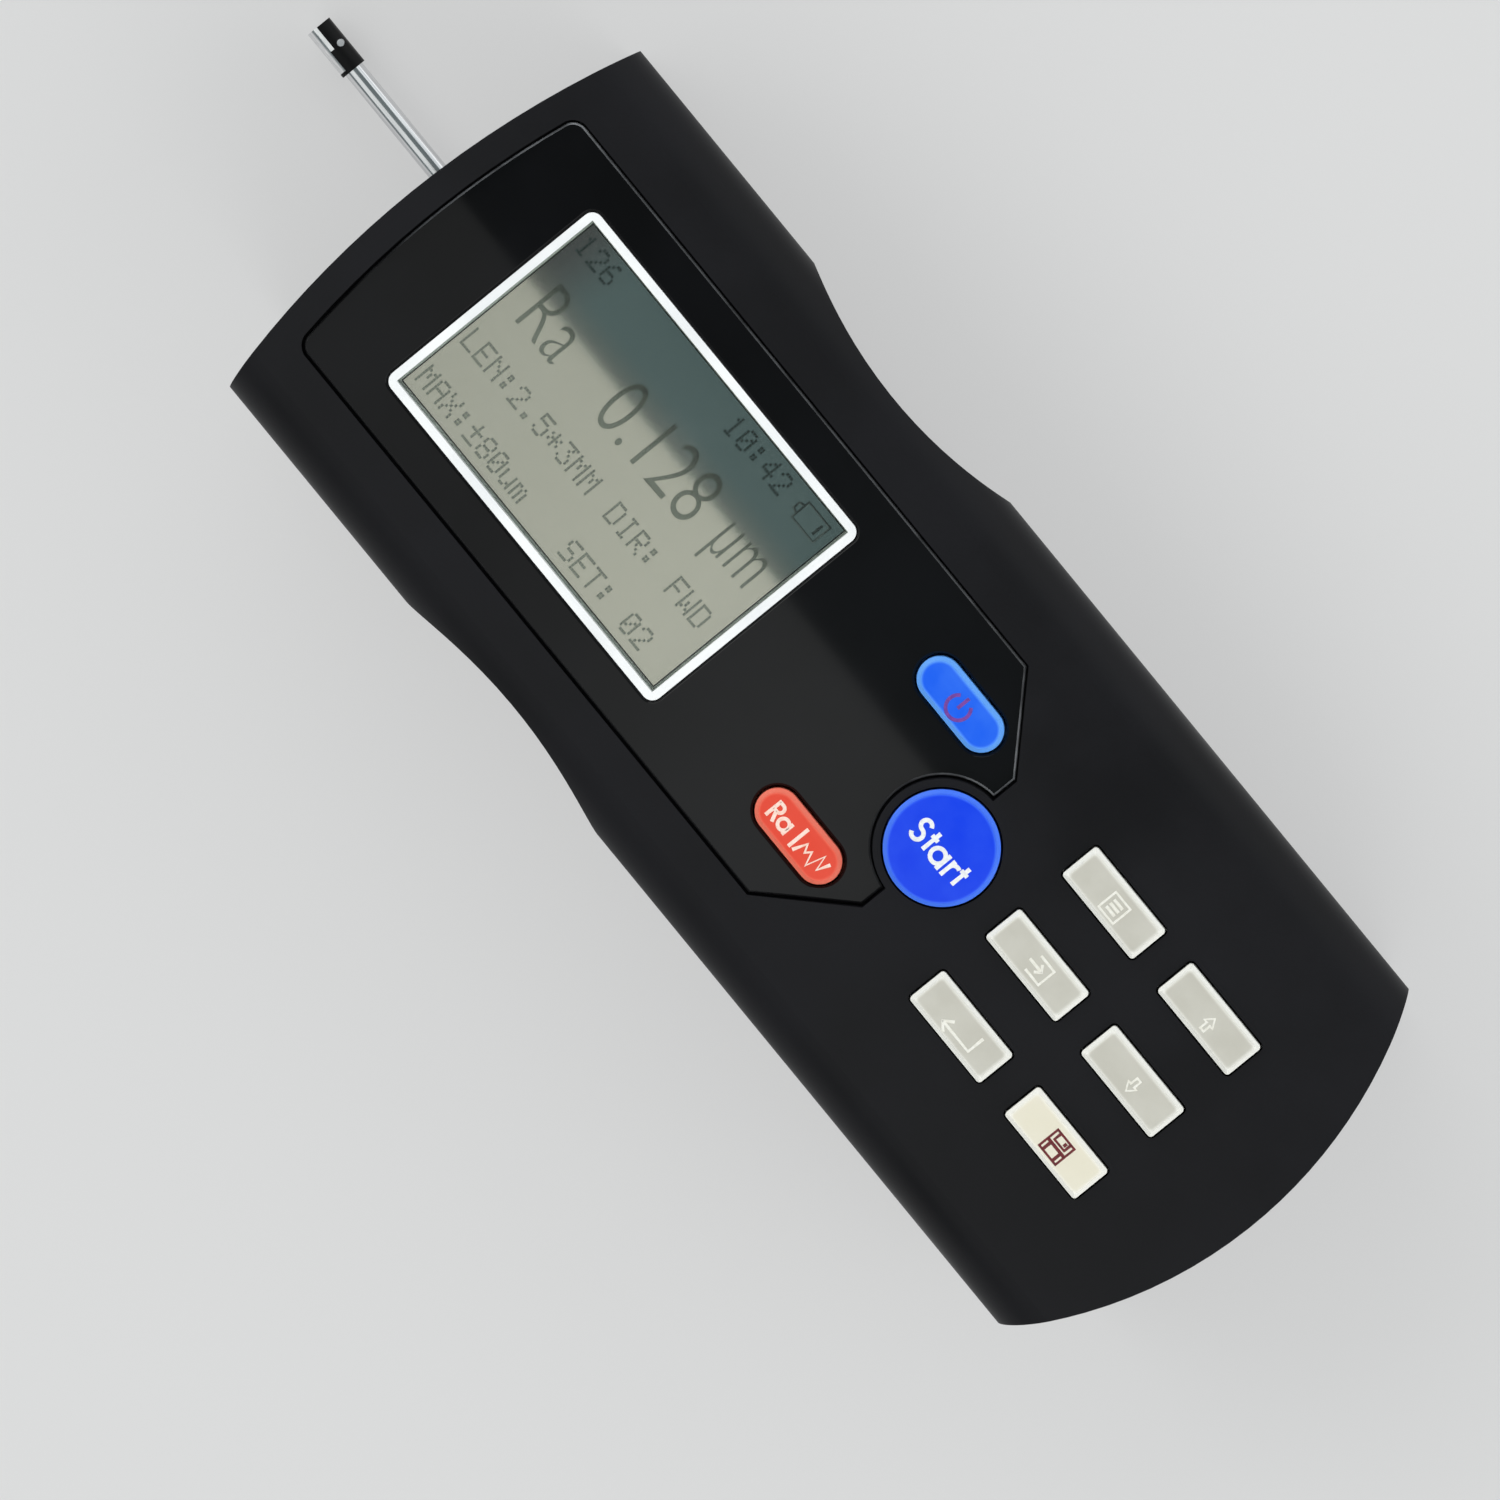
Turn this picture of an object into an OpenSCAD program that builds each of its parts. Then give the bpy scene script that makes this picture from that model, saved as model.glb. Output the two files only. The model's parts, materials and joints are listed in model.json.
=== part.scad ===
// Hand-held surface roughness tester: crowned housing, display panel, keypad and a stylus pickup that is
// drawn into the housing by a lead screw. X runs from the stylus end to the keypad end, Y to the top edge
// of the display, Z up. The origin is the middle of the base.

/* [Housing] */
// Length between the crests of the two curved ends
body_length = 141; // [139:0.5:152]
// Width across the rim, the widest line of the housing
body_width = 56.4; // [55:0.2:62]
// Height from the base to the crest of the deck
body_height = 48; // [46:0.5:56]
// Bulge of the curved stylus end
probe_end_bulge = 3.6; // [2.4:0.1:5]
// Bulge of the curved keypad end
key_end_bulge = 8.2; // [6:0.1:10]
// Radius of the crown across the deck
crown_radius = 160; // [140:1:220]
// Radius of the shoulders between deck and sides
shoulder_radius = 6.2; // [5:0.1:8]
// Inward lean of the long sides towards the base, in degrees
side_taper = 6; // [4:0.25:7]
// Inward lean of the ends towards the base, in degrees
end_taper = 2; // [1:0.25:3]
// Wall thickness of both covers
wall = 2.2; // [1.8:0.1:2.6]
// Height of the seam between the covers
seam_height = 30; // [28:0.5:32]
// Height of the tongue that enters the top cover
tongue_height = 1.6; // [1:0.1:2.4]
// Height of the shadow groove along the seam
seam_groove = 0.35; // [0.2:0.05:0.6]
// Length of a finger scallop along the rim
scallop_length = 31; // [24:0.5:36]
// Depth of a finger scallop
scallop_depth = 2.4; // [1.5:0.1:3]
// Distance of the scallops from the stylus end
scallop_place = 49.3; // [44:0.1:56]

/* [Panel and display] */
// Distance of the panel from the crest of the stylus end
panel_margin = 3.1; // [2.4:0.1:4]
// Length of the panel from its curved end to its straight end
panel_length = 85.7; // [82:0.1:88]
// Width of the panel
panel_width = 38.6; // [37:0.1:41]
// Size of the two slanted corners beside the start key
panel_chamfer = 8.7; // [6:0.1:11]
// Radius of the corners at the curved end
panel_corner = 2; // [1:0.1:3]
// Depth of the panel's face below the crest of the deck
panel_depth = 1.6; // [1.3:0.1:2]
// Thickness of the panel plate
panel_thickness = 1.5; // [1:0.1:2]
// Gap round the panel plate
panel_gap = 0.25; // [0.15:0.05:0.4]
// Thickness of the deck floor under the panel
deck_thickness = 1.6; // [1.2:0.1:2]
// Distance of the display frame from the panel's curved end
display_place = 10.45; // [9:0.05:12]
// Length of the display frame
frame_length = 44.5; // [40:0.1:46]
// Width of the display frame
frame_width = 28.8; // [26:0.1:31]
// Width of the frame's rim
frame_rim = 0.95; // [0.7:0.05:1.4]
// Radius of the frame's outer corners
frame_corner = 1.2; // [0.8:0.1:2]
// Height of the frame above the panel
frame_proud = 0.3; // [0.1:0.05:0.6]
// Width of the ledge that carries the lens
lens_ledge = 0.25; // [0.2:0.05:0.6]
// Thickness of the clear lens
lens_thickness = 1; // [0.6:0.1:1.4]
// Thickness of the display cell
cell_thickness = 1.7; // [1.2:0.1:2.2]

/* [Keys] */
// Diameter of the start key
start_diameter = 12.5; // [11:0.1:13.5]
// Width of the collar round the start key
start_collar = 0.85; // [0.6:0.05:1.2]
// Distance of the start key from the panel's straight end
start_place = 0.4; // [0:0.1:1.5]
// Height of the start key above the deck
start_proud = 1.2; // [0.9:0.1:2]
// Radius of the start key's domed face
start_dome = 42; // [30:1:70]
// Length of the two oval keys
oval_length = 11.8; // [10:0.1:13]
// Width of the two oval keys
oval_width = 4.9; // [4:0.1:6]
// Distance of the oval keys from the panel's straight end
oval_place = 10.1; // [9:0.1:11]
// Distance of the oval keys from the middle line
oval_offset = 11.1; // [10.4:0.1:12]
// Length of the six keypad keys
key_length = 11.7; // [10:0.1:13]
// Width of the six keypad keys
key_width = 4.75; // [4:0.05:6]
// Corner radius of the keypad keys
key_corner = 0.4; // [0.3:0.1:1.2]
// Bevel along the upper edges of the keys
key_bevel = 0.45; // [0.2:0.05:0.6]
// Distance of the first keypad column from the start key
keypad_place = 16; // [15.5:0.1:18]
// Distance between the keypad columns
column_pitch = 15.9; // [15.5:0.1:17]
// Distance between the keypad rows
row_pitch = 10.45; // [9.5:0.05:11.5]
// Height of the keys above the surface round them
key_proud = 1; // [0.9:0.1:1.6]
// Gap round each key
key_gap = 0.25; // [0.15:0.05:0.4]
// Reach of the flange that keeps a key in its cover
flange_reach = 0.8; // [0.5:0.1:1.2]
// Thickness of the key flanges
flange_thickness = 0.8; // [0.6:0.1:1.2]
// Travel of every key
key_travel = 0.8; // [0.4:0.1:1]
// Diameter of the key stems
stem_diameter = 3.2; // [2.4:0.1:4]
// Depth to which a stem stands in its switch
stem_entry = 0.5; // [0.3:0.1:0.8]
// Side of a square key switch
switch_side = 6; // [5:0.1:7]
// Height of a key switch
switch_height = 3.5; // [3:0.1:4]

/* [Board and power] */
// Distance from the deck floor down to the main board
board_drop = 7.3; // [6.8:0.1:9]
// Thickness of the main board
board_thickness = 1.6; // [1:0.1:2]
// Gap between the board and the housing
board_gap = 1; // [0.6:0.1:2]
// Width of the board's tongue under the socket
tongue_width = 12; // [10:0.5:16]
// Length of the data socket
socket_length = 8; // [7:0.1:10]
// Width of the data socket
socket_width = 7.6; // [7:0.1:9]
// Height of the data socket
socket_height = 3; // [2.6:0.1:3.6]
// Length of the battery pack
battery_length = 38; // [34:0.5:39]
// Width of the battery pack
battery_width = 24; // [20:0.5:25]
// Height of the battery pack
battery_height = 17; // [12:0.5:20]
// Distance of the battery pack from the keypad end
battery_place = 9; // [8:0.5:10]
// Height of the ribs round the battery pack
cradle_height = 8; // [4:0.5:11]

/* [Stylus drive] */
// Reach of the pickup beyond the stylus end
probe_reach = 20; // [19:0.1:24]
// Height of the pickup's axis above the base
probe_height = 3.4; // [3.3:0.1:3.5]
// Travel of the pickup into the housing
travel = 17.5; // [10:0.5:18]
// Diameter of the pickup tube
tube_diameter = 2.3; // [2:0.05:2.5]
// Bore of the pickup tube
tube_bore = 1.5; // [1:0.05:1.6]
// Length of the pickup nose
nose_length = 6; // [5.5:0.1:7]
// Width of the pickup nose
nose_width = 3; // [2.9:0.05:3.4]
// Width of the groove that the pickup runs in
groove_width = 9; // [8.6:0.1:10]
// Height of the groove that the pickup runs in
groove_height = 7; // [6.8:0.1:7.4]
// Distance of the carriage from the stylus end
carriage_place = 15.5; // [15:0.1:16.5]
// Length of the carriage
carriage_length = 12; // [11:0.1:12.5]
// Width of the carriage
carriage_width = 24; // [22:0.1:24.5]
// Height of the carriage
carriage_height = 10.4; // [10:0.1:11]
// Diameter of the guide rods
rod_diameter = 3; // [2.5:0.1:3.4]
// Distance between the guide rods
rod_pitch = 16; // [14.5:0.1:17]
// Height of the lead screw above the frame plate
screw_rise = 6; // [5.9:0.1:7]
// Outer diameter of the lead screw
screw_diameter = 4; // [3.4:0.1:4.4]
// Diameter of the journals of the lead screw
journal_diameter = 3; // [2:0.1:3.2]
// Outer diameter of the screw bearings
bearing_diameter = 7; // [6:0.1:8]
// Thickness of the frame's base plate
plate_thickness = 2; // [1.6:0.1:2.4]
// Thickness of the two uprights of the frame
upright_thickness = 3; // [2.4:0.1:3.6]
// Length of the room for the shaft coupling
coupling_room = 12; // [11:0.1:13]
// Diameter of the shaft coupling
coupling_diameter = 7.6; // [6.6:0.1:8]
// Diameter of the gearbox
gearbox_diameter = 15; // [14:0.1:15.5]
// Length of the gearbox and the motor together
motor_length = 24; // [20:0.5:24.5]

/* [Fasteners and mounts] */
// Distance of the front cover screws from the stylus end
front_screw_place = 9.5; // [9:0.1:10]
// Distance of the rear cover screws from the keypad end
rear_screw_place = 14.5; // [14:0.1:15.5]
// Distance of the front cover screws from the rim
front_screw_inset = 9.2; // [8.8:0.1:10]
// Distance of the rear cover screws from the rim
rear_screw_inset = 11.2; // [10:0.1:11.6]
// Diameter of the cover screws
cover_screw = 3; // [2.5:0.1:3.2]
// Diameter of the board and motor screws
small_screw = 2; // [1.6:0.1:2.2]
// Diameter of the drive screws
drive_screw = 2.5; // [2:0.1:2.6]
// Place of the stand thread along the base
stand_place = 10; // [8:0.5:12]
// Diameter of the stand thread
stand_thread = 5; // [4:0.1:5.4]
// Depth of the stand thread
stand_depth = 7.5; // [6:0.1:7.8]

/* [Hidden] */
$fn = 96;
smooth = 4 * $fn;
hull_facets = 32;

// Clearances shared by the fits
far = 2 * body_length;
margin = 1;
film = 0.02;
shaft_fit = 0.02;
seat_gap = 0.1;
fit_gap = 0.1;
cell_gap = 0.15;
run_gap = 0.6;

// Housing
half_width = body_width / 2;
probe_end = -body_length / 2;
key_end = body_length / 2;
crown_centre = body_height - crown_radius;
shoulder_y = half_width - shoulder_radius;
rim_height = crown_centre + sqrt(pow(crown_radius - shoulder_radius, 2) - pow(shoulder_y, 2));
probe_arc = arc_radius(half_width, probe_end_bulge);
key_arc = arc_radius(half_width, key_end_bulge);
scallop_arc = arc_radius(scallop_length / 2, scallop_depth);
scallop_x = probe_end + scallop_place;
tongue_inset = wall / 2;

// Panel and display
panel_crest = probe_end + panel_margin;
panel_end = panel_crest + panel_length;
panel_arc = probe_arc - panel_margin;
panel_face = body_height - panel_depth;
panel_floor = panel_face - panel_thickness;
deck_under = panel_floor - deck_thickness;
tray_margin = 1.8;
display_x = panel_crest + display_place + frame_length / 2;
window_length = frame_length - 2 * frame_rim;
window_width = frame_width - 2 * frame_rim;
opening_length = window_length - 2 * lens_ledge;
opening_width = window_width - 2 * lens_ledge;
cell_top = panel_floor - seat_gap;
cell_under = cell_top - cell_thickness;
carrier_margin = 0.4;

// Keys: the two oval keys lie on the panel, the six keypad keys on the deck
start_x = panel_end + start_place;
start_hole = start_diameter / 2 + key_gap;
collar_radius = start_hole + start_collar;
oval_x = panel_end - oval_place;
power_place = [oval_x, oval_offset];
display_key_place = [oval_x, -oval_offset];
near_column = start_x + keypad_place;
far_column = near_column + column_pitch;
menu_place = [near_column, row_pitch];
up_place = [far_column, row_pitch];
output_place = [near_column, 0];
down_place = [far_column, 0];
enter_place = [near_column, -row_pitch];
save_place = [far_column, -row_pitch];
keypad_places = [menu_place, up_place, output_place, down_place, enter_place, save_place];
all_places = concat([[start_x, 0], power_place, display_key_place], keypad_places);
flange_top = deck_under - seat_gap;
pad_margin = 2.4;

// Board
board_top = deck_under - board_drop;
board_under = board_top - board_thickness;
switch_top = board_top + switch_height;
front_screw_x = probe_end + front_screw_place;
rear_screw_x = key_end - rear_screw_place;
front_screw_y = half_width - front_screw_inset;
rear_screw_y = half_width - rear_screw_inset;
cover_screw_places = [
    [front_screw_x, front_screw_y], [front_screw_x, -front_screw_y],
    [rear_screw_x, rear_screw_y], [rear_screw_x, -rear_screw_y]
];
boss_wall = 1.7;
cover_boss = cover_screw / 2 + boss_wall;
head_gap = 0.4;
cover_head_rim = 1.3;
cover_head = cover_screw / 2 + cover_head_rim;
head_height = 2.4;
column_wall = 1;
column_radius = cover_head + head_gap + column_wall;
grip_length = 8;
board_front = front_screw_x + cover_boss + board_gap / 2;
board_rear = rear_screw_x - cover_boss - board_gap / 2;
board_half = side_at(board_under) - wall - scallop_depth - board_gap;
small_boss_wall = 1.4;
small_boss = small_screw / 2 + small_boss_wall;
small_head_rim = 0.9;
small_head = small_screw / 2 + small_head_rim;
small_head_height = 1.3;
small_grip = 5;
board_screw_inset = 3;
board_screw_places = [
    for (x = [board_front + board_screw_inset, board_rear - board_screw_inset])
        for (s = [-1, 1])
            [x, s * (board_half - small_boss)]
];
socket_z = board_top + socket_height / 2;
end_inner = key_end - (body_height - socket_z) * tan(end_taper) - wall;
socket_mouth = end_inner + wall / 4;
socket_back = socket_mouth - socket_length;
socket_wall = 0.35;
socket_corner = 0.8;
socket_gap = 0.7;
socket_floor = 1;
board_corner = 1.5;
carrier_corner = 1;
chip_height = 1.2;
// Place, length and width of each chip
chips = [[-18, 4, 14, 14], [4, -6, 9, 5], [4, 6, 5, 5], [24, 0, 10, 7]];
battery_rear = key_end - battery_place;
battery_front = battery_rear - battery_length;
cradle_wall = 1.2;
battery_corner = 3;

// Stylus drive
nose_tip = probe_end - probe_reach;
nose_rear = nose_tip + nose_length;
tube_entry = 1.6;
groove_roof = 2;
groove_corner = 1.2;
groove_front = probe_end + body_height * tan(end_taper) + wall / 2;
drive_seat = groove_height + groove_roof;
plate_top = drive_seat + plate_thickness;
screw_z = plate_top + screw_rise;
carriage_front = probe_end + carriage_place;
carriage_rear = carriage_front + carriage_length;
carriage_mid = carriage_front + carriage_length / 2;
carriage_under = screw_z - carriage_height / 2;
end_room = 2;
upright_front = carriage_front - end_room - upright_thickness;
upright_rear = carriage_rear + travel + end_room;
motor_plate = upright_rear + upright_thickness + coupling_room;
motor_plate_thickness = 2.5;
motor_face = motor_plate + motor_plate_thickness;
plate_margin = 1.6;
plate_half = carriage_width / 2 + plate_margin;
upright_margin = 0.5;
upright_half = carriage_width / 2 + upright_margin;
upright_rise = 3;
upright_top = screw_z + carriage_height / 2 + upright_rise;
post_length = 6;
post_width = 4;
holder_margin = 1;
holder_length = carriage_length + 2 * holder_margin;
holder_width = groove_width - 2 * holder_margin;
holder_top = groove_height - run_gap;
holder_under = 0.9;
holder_front = carriage_mid - holder_length / 2;
tube_stop = 2;
tube_rear = holder_front + holder_length - tube_stop;
groove_room = 1.5;
groove_end = holder_front + holder_length + travel + groove_room;
slot_front = carriage_mid - post_length / 2 - run_gap;
slot_rear = carriage_mid + post_length / 2 + travel + run_gap;
nut_wall = 2;
nut_rim = 1;
nut_diameter = screw_diameter + 2 * nut_wall;
nut_flange = 1.2;
nut_gap = 0.05;
ear_radius = 3.2;
ear_reach = 2.9;
ear_shift = 1;
ear_y = carriage_width / 2 + ear_reach;
drive_screw_places = [
    for (x = [carriage_mid + ear_shift, motor_plate - ear_radius])
        for (s = [-1, 1])
            [x, s * ear_y]
];
drive_head_rim = 1;
drive_head = drive_screw / 2 + drive_head_rim;
drive_head_height = 1.6;
drive_grip = 6;
coupling_front_gap = 0.8;
coupling_rear_gap = 2.8;
coupling_length = coupling_room - coupling_front_gap - coupling_rear_gap;
coupling_front = upright_rear + upright_thickness + coupling_front_gap;
motor_screw_pitch = 11.4;
motor_grip = 4;
shaft_depth = 4;
gearbox_length = motor_length / 2;
can_step = 1.5;
can_diameter = gearbox_diameter - 2 * can_step;
limit_side = 4;
limit_gap = 0.5;
limit_rise = 1;
insert_wall = 1.2;
insert_radius = stand_thread / 2 + insert_wall;
stand_boss_roof = 0.9;

// Pickup nose: a black carrier beside a bright shoe, split by a stepped plane
nose_radius = nose_width / 2;
keel_width = 2.2;
keel_under = 1.1;
split_front = -0.1;
split_rear = -0.65;
split_step = nose_tip + nose_length / 2;
split_gap = 0.02;
nose_collar = 0.45;
skid_radius = 0.9;
skid_under = 0.35;
stylus_y = 0.5;
slot_width = 0.8;
arm_width = 0.5;
arm_height = 0.5;
arm_z = 2.1;
arm_setback = 0.5;
arm_front = nose_tip + arm_setback;
pivot_place = 3.7;
pivot_x = nose_tip + pivot_place;
pivot_radius = 0.28;
pivot_length = 1.4;
stylus_place = 1;
stylus_x = nose_tip + stylus_place;
stylus_radius = 0.22;
stylus_point = 0.03;
stylus_under = 0.2;
nose_screw_radius = 0.4;
nose_screw_place = 2.9;
nose_screw_x = nose_tip + nose_screw_place;
nose_screw_y = 0.85;
nose_screw_depth = 0.6;

// Radius of an arc from half its chord and its bulge
function arc_radius(half, bulge) = (half * half + bulge * bulge) / (2 * bulge);
// Height of the crowned deck at a distance from the middle line
function crown_height(y) = crown_centre + sqrt(crown_radius * crown_radius - y * y);
// Half width of the leaning long sides at a height below the rim
function side_at(z) = half_width - (rim_height - z) * tan(side_taper);

// Horizontal layer between two heights
module layer(low, high) {
    translate([-far / 2, -far / 2, low])
        cube([far, far, high - low]);
}

module round_rect(length, width, corner) {
    square([length - 2 * corner, width], center = true);
    square([length, width - 2 * corner], center = true);
    for (x = [-1, 1])
        for (y = [-1, 1])
            translate([x * (length / 2 - corner), y * (width / 2 - corner)])
                circle(corner);
}

module stadium(length, width) {
    square([length - width, width], center = true);
    for (x = [-1, 1])
        translate([x * (length - width) / 2, 0])
            circle(width / 2);
}

// What lies outside a fillet, between the directions from its centre to its two ends. The arc is wider by a
// film, so that it crosses the edges that it runs into.
module corner_cut(centre, radius, first, second) {
    reach = 4 * radius;
    difference() {
        polygon([
            centre, centre + reach * first, centre + reach * (first + second), centre + reach * second
        ]);
        translate(centre)
            circle(radius + film);
    }
}

// Cross section of the housing: leaning sides that run into the shoulders and the crown
module section(inset) {
    fillet = shoulder_radius - inset;
    side_y = shoulder_y + fillet * cos(side_taper);
    side_z = rim_height - fillet * sin(side_taper);
    top = body_height + margin;
    foot = side_y - side_z * tan(side_taper);
    head = side_y + (top - side_z) * tan(side_taper);
    lean = [shoulder_y, rim_height - crown_centre] / (crown_radius - shoulder_radius);
    difference() {
        intersection() {
            translate([0, crown_centre])
                circle(crown_radius - inset, $fn = smooth);
            polygon([[-foot, 0], [foot, 0], [head, top], [-head, top]]);
        }
        for (s = [-1, 1])
            corner_cut(
                [s * shoulder_y, rim_height], fillet,
                [s * cos(side_taper), -sin(side_taper)], [s * lean.x, lean.y]
            );
    }
}

// What lies beyond a curved, leaning end
module end_cut(side, arc, inset) {
    lean = tan(end_taper);
    translate([side * (body_length / 2 - arc), 0, 0])
        difference() {
            translate([side > 0 ? 0 : -far, -far / 2, -margin])
                cube([far, far, body_height + 2 * margin]);
            translate([0, 0, -2 * margin])
                cylinder(
                    h = body_height + 4 * margin,
                    r1 = arc - inset - (body_height + 2 * margin) * lean,
                    r2 = arc - inset + 2 * margin * lean,
                    $fn = smooth
                );
        }
}

// Outer form of the housing, or the same form a wall's thickness further in
module envelope(inset) {
    difference() {
        rotate([90, 0, 90])
            linear_extrude(height = body_length + 2 * margin, center = true)
                section(inset);
        end_cut(-1, probe_arc, inset);
        end_cut(1, key_arc, inset);
        for (s = [-1, 1])
            translate([scallop_x, s * (half_width - scallop_depth + scallop_arc), rim_height])
                rotate([-s * side_taper, 0, 0])
                    cylinder(h = far, r = scallop_arc + inset, center = true, $fn = smooth);
    }
}

// Outline of the panel: one curved end with round corners, one end with slanted corners
module panel_outline(inset) {
    half = panel_width / 2 - inset;
    end = panel_end - inset;
    slant = panel_chamfer - (2 - sqrt(2)) * inset;
    corner = panel_corner - inset;
    arc = panel_arc - inset;
    arc_x = panel_crest + panel_arc;
    corner_x = arc_x - sqrt(pow(arc - corner, 2) - pow(half - corner, 2));
    difference() {
        intersection() {
            translate([arc_x, 0])
                circle(arc, $fn = smooth);
            polygon([
                [probe_end - margin, -half], [end - slant, -half], [end, slant - half],
                [end, half - slant], [end - slant, half], [probe_end - margin, half]
            ]);
        }
        for (s = [-1, 1])
            corner_cut(
                [corner_x, s * (half - corner)], corner,
                [0, s], [corner_x - arc_x, s * (half - corner)] / (arc - corner)
            );
    }
}

module keypad_outline(grow) {
    round_rect(key_length + 2 * grow, key_width + 2 * grow, key_corner + grow);
}

module oval_outline(grow) {
    stadium(oval_length + 2 * grow, oval_width + 2 * grow);
}

// Openings of the nine keys in the deck
module key_holes(grow) {
    translate([start_x, 0])
        circle(start_diameter / 2 + grow);
    oval_holes(grow);
    for (p = keypad_places)
        translate(p)
            keypad_outline(grow);
}

module oval_holes(grow) {
    for (p = [power_place, display_key_place])
        translate(p)
            oval_outline(grow);
}

// Flat pads on the underside of the deck, which the key flanges rest against
module deck_pads() {
    translate([0, 0, deck_under])
        linear_extrude(body_height) {
            panel_outline(-tray_margin);
            translate([start_x, 0])
                circle(start_hole + pad_margin);
            translate([(near_column + far_column) / 2, 0])
                round_rect(
                    column_pitch + key_length + 2 * pad_margin,
                    2 * row_pitch + key_width + 2 * pad_margin,
                    pad_margin
                );
        }
}

module top_bosses() {
    for (p = cover_screw_places)
        translate([p.x, p.y, seam_height])
            cylinder(h = body_height, r = cover_boss);
    for (p = board_screw_places)
        translate([p.x, p.y, board_top])
            cylinder(h = body_height, r = small_boss);
}

module top_cover() {
    color("#26282b")
    difference() {
        union() {
            difference() {
                intersection() {
                    envelope(0);
                    layer(seam_height, body_height + margin);
                }
                intersection() {
                    envelope(wall);
                    layer(seam_height - margin, body_height);
                }
            }
            intersection() {
                envelope(wall / 2);
                union() {
                    deck_pads();
                    top_bosses();
                }
            }
        }
        // Seat of the panel, which leaves the collar of the start key standing
        translate([0, 0, panel_floor])
            linear_extrude(body_height)
                difference() {
                    panel_outline(0);
                    translate([start_x, 0])
                        circle(collar_radius);
                }
        translate([0, 0, board_top])
            linear_extrude(body_height) {
                key_holes(key_gap);
                translate([display_x, 0])
                    square([opening_length, opening_width], center = true);
            }
        for (p = cover_screw_places)
            translate([p.x, p.y, seam_height - margin])
                cylinder(h = grip_length + margin + fit_gap, r = cover_screw / 2 + shaft_fit);
        for (p = board_screw_places)
            translate([p.x, p.y, board_top - margin])
                cylinder(h = small_grip + margin + fit_gap, r = small_screw / 2 + shaft_fit);
        // Rebate for the tongue of the bottom cover
        intersection() {
            envelope(tongue_inset);
            layer(seam_height - margin, seam_height + tongue_height + fit_gap);
        }
        // Shadow groove along the seam
        difference() {
            layer(seam_height - margin, seam_height + seam_groove);
            envelope(seam_groove);
        }
        // Opening in front of the data socket
        translate([end_inner - wall, 0, socket_z])
            rotate([90, 0, 90])
                linear_extrude(far)
                    round_rect(
                        socket_width + 2 * socket_gap, socket_height + 2 * socket_gap,
                        socket_corner + socket_gap
                    );
    }
}

// Columns of the cover screws, which run into the outer walls
module screw_columns() {
    intersection() {
        envelope(wall / 2);
        for (p = cover_screw_places)
            translate([p.x, p.y, 0])
                cylinder(h = seam_height, r = column_radius);
    }
}

// Block that the groove is cut into, from the stylus end's wall inwards
module groove_block() {
    block_width = groove_width + 2 * groove_roof;
    translate([groove_front, -block_width / 2, wall / 2])
        cube([groove_end + groove_roof - groove_front, block_width, drive_seat - wall / 2]);
}

// Bosses and ribs that stand free on the floor
module floor_bosses() {
    translate([0, 0, wall / 2]) {
        for (p = drive_screw_places)
            translate(p)
                cylinder(h = drive_seat - wall / 2, r = ear_radius);
        translate([stand_place, 0])
            cylinder(h = stand_depth + stand_boss_roof - wall / 2, r = insert_radius + boss_wall);
        translate([battery_front + battery_length / 2, 0])
            linear_extrude(wall / 2 + cradle_height)
                difference() {
                    cradle_outline(cradle_wall + fit_gap);
                    cradle_outline(fit_gap);
                }
    }
}

module cradle_outline(grow) {
    square([battery_length + 2 * grow, battery_width + 2 * grow], center = true);
}

module bottom_cover() {
    color("#232528")
    difference() {
        union() {
            difference() {
                union() {
                    intersection() {
                        envelope(0);
                        layer(0, seam_height);
                    }
                    intersection() {
                        envelope(tongue_inset + fit_gap);
                        layer(seam_height - margin, seam_height + tongue_height);
                    }
                }
                intersection() {
                    envelope(wall);
                    layer(wall, seam_height + tongue_height + margin);
                }
            }
            screw_columns();
            groove_block();
            floor_bosses();
        }
        // Groove for the pickup, open to the base and the stylus end
        translate([probe_end - margin, 0, 0])
            rotate([90, 0, 90])
                linear_extrude(groove_end - probe_end + margin)
                    round_rect(groove_width, 2 * groove_height, groove_corner);
        // Slot for the post of the carriage
        translate([slot_front, -post_width / 2 - run_gap, 0])
            cube([slot_rear - slot_front, post_width + 2 * run_gap, drive_seat + margin]);
        for (p = cover_screw_places)
            translate([p.x, p.y, 0]) {
                translate([0, 0, -margin])
                    cylinder(h = seam_height - grip_length + margin, r = cover_head + head_gap);
                cylinder(h = seam_height + margin, r = cover_screw / 2 + fit_gap);
            }
        for (p = drive_screw_places)
            translate([p.x, p.y, drive_seat - drive_grip])
                cylinder(h = drive_grip + margin, r = drive_screw / 2 + shaft_fit);
        translate([stand_place, 0, -margin])
            cylinder(h = stand_depth + margin, r = insert_radius + shaft_fit);
    }
}

module panel_plate() {
    color("#0b0b0d")
    translate([0, 0, panel_floor])
        linear_extrude(panel_thickness)
            difference() {
                panel_outline(panel_gap);
                translate([start_x, 0])
                    circle(collar_radius + panel_gap);
                oval_holes(key_gap);
                translate([display_x, 0])
                    round_rect(
                        frame_length + 2 * fit_gap, frame_width + 2 * fit_gap, frame_corner + fit_gap
                    );
            }
}

module display_frame() {
    color("#e9ebec")
    translate([display_x, 0, panel_floor])
        linear_extrude(panel_thickness + frame_proud)
            difference() {
                round_rect(frame_length, frame_width, frame_corner);
                square([window_length, window_width], center = true);
            }
}

module display_lens() {
    color("#b8c4c4", 0.35)
    translate([display_x, 0, panel_floor + lens_thickness / 2])
        cube([window_length - fit_gap, window_width - fit_gap, lens_thickness], center = true);
}

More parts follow.
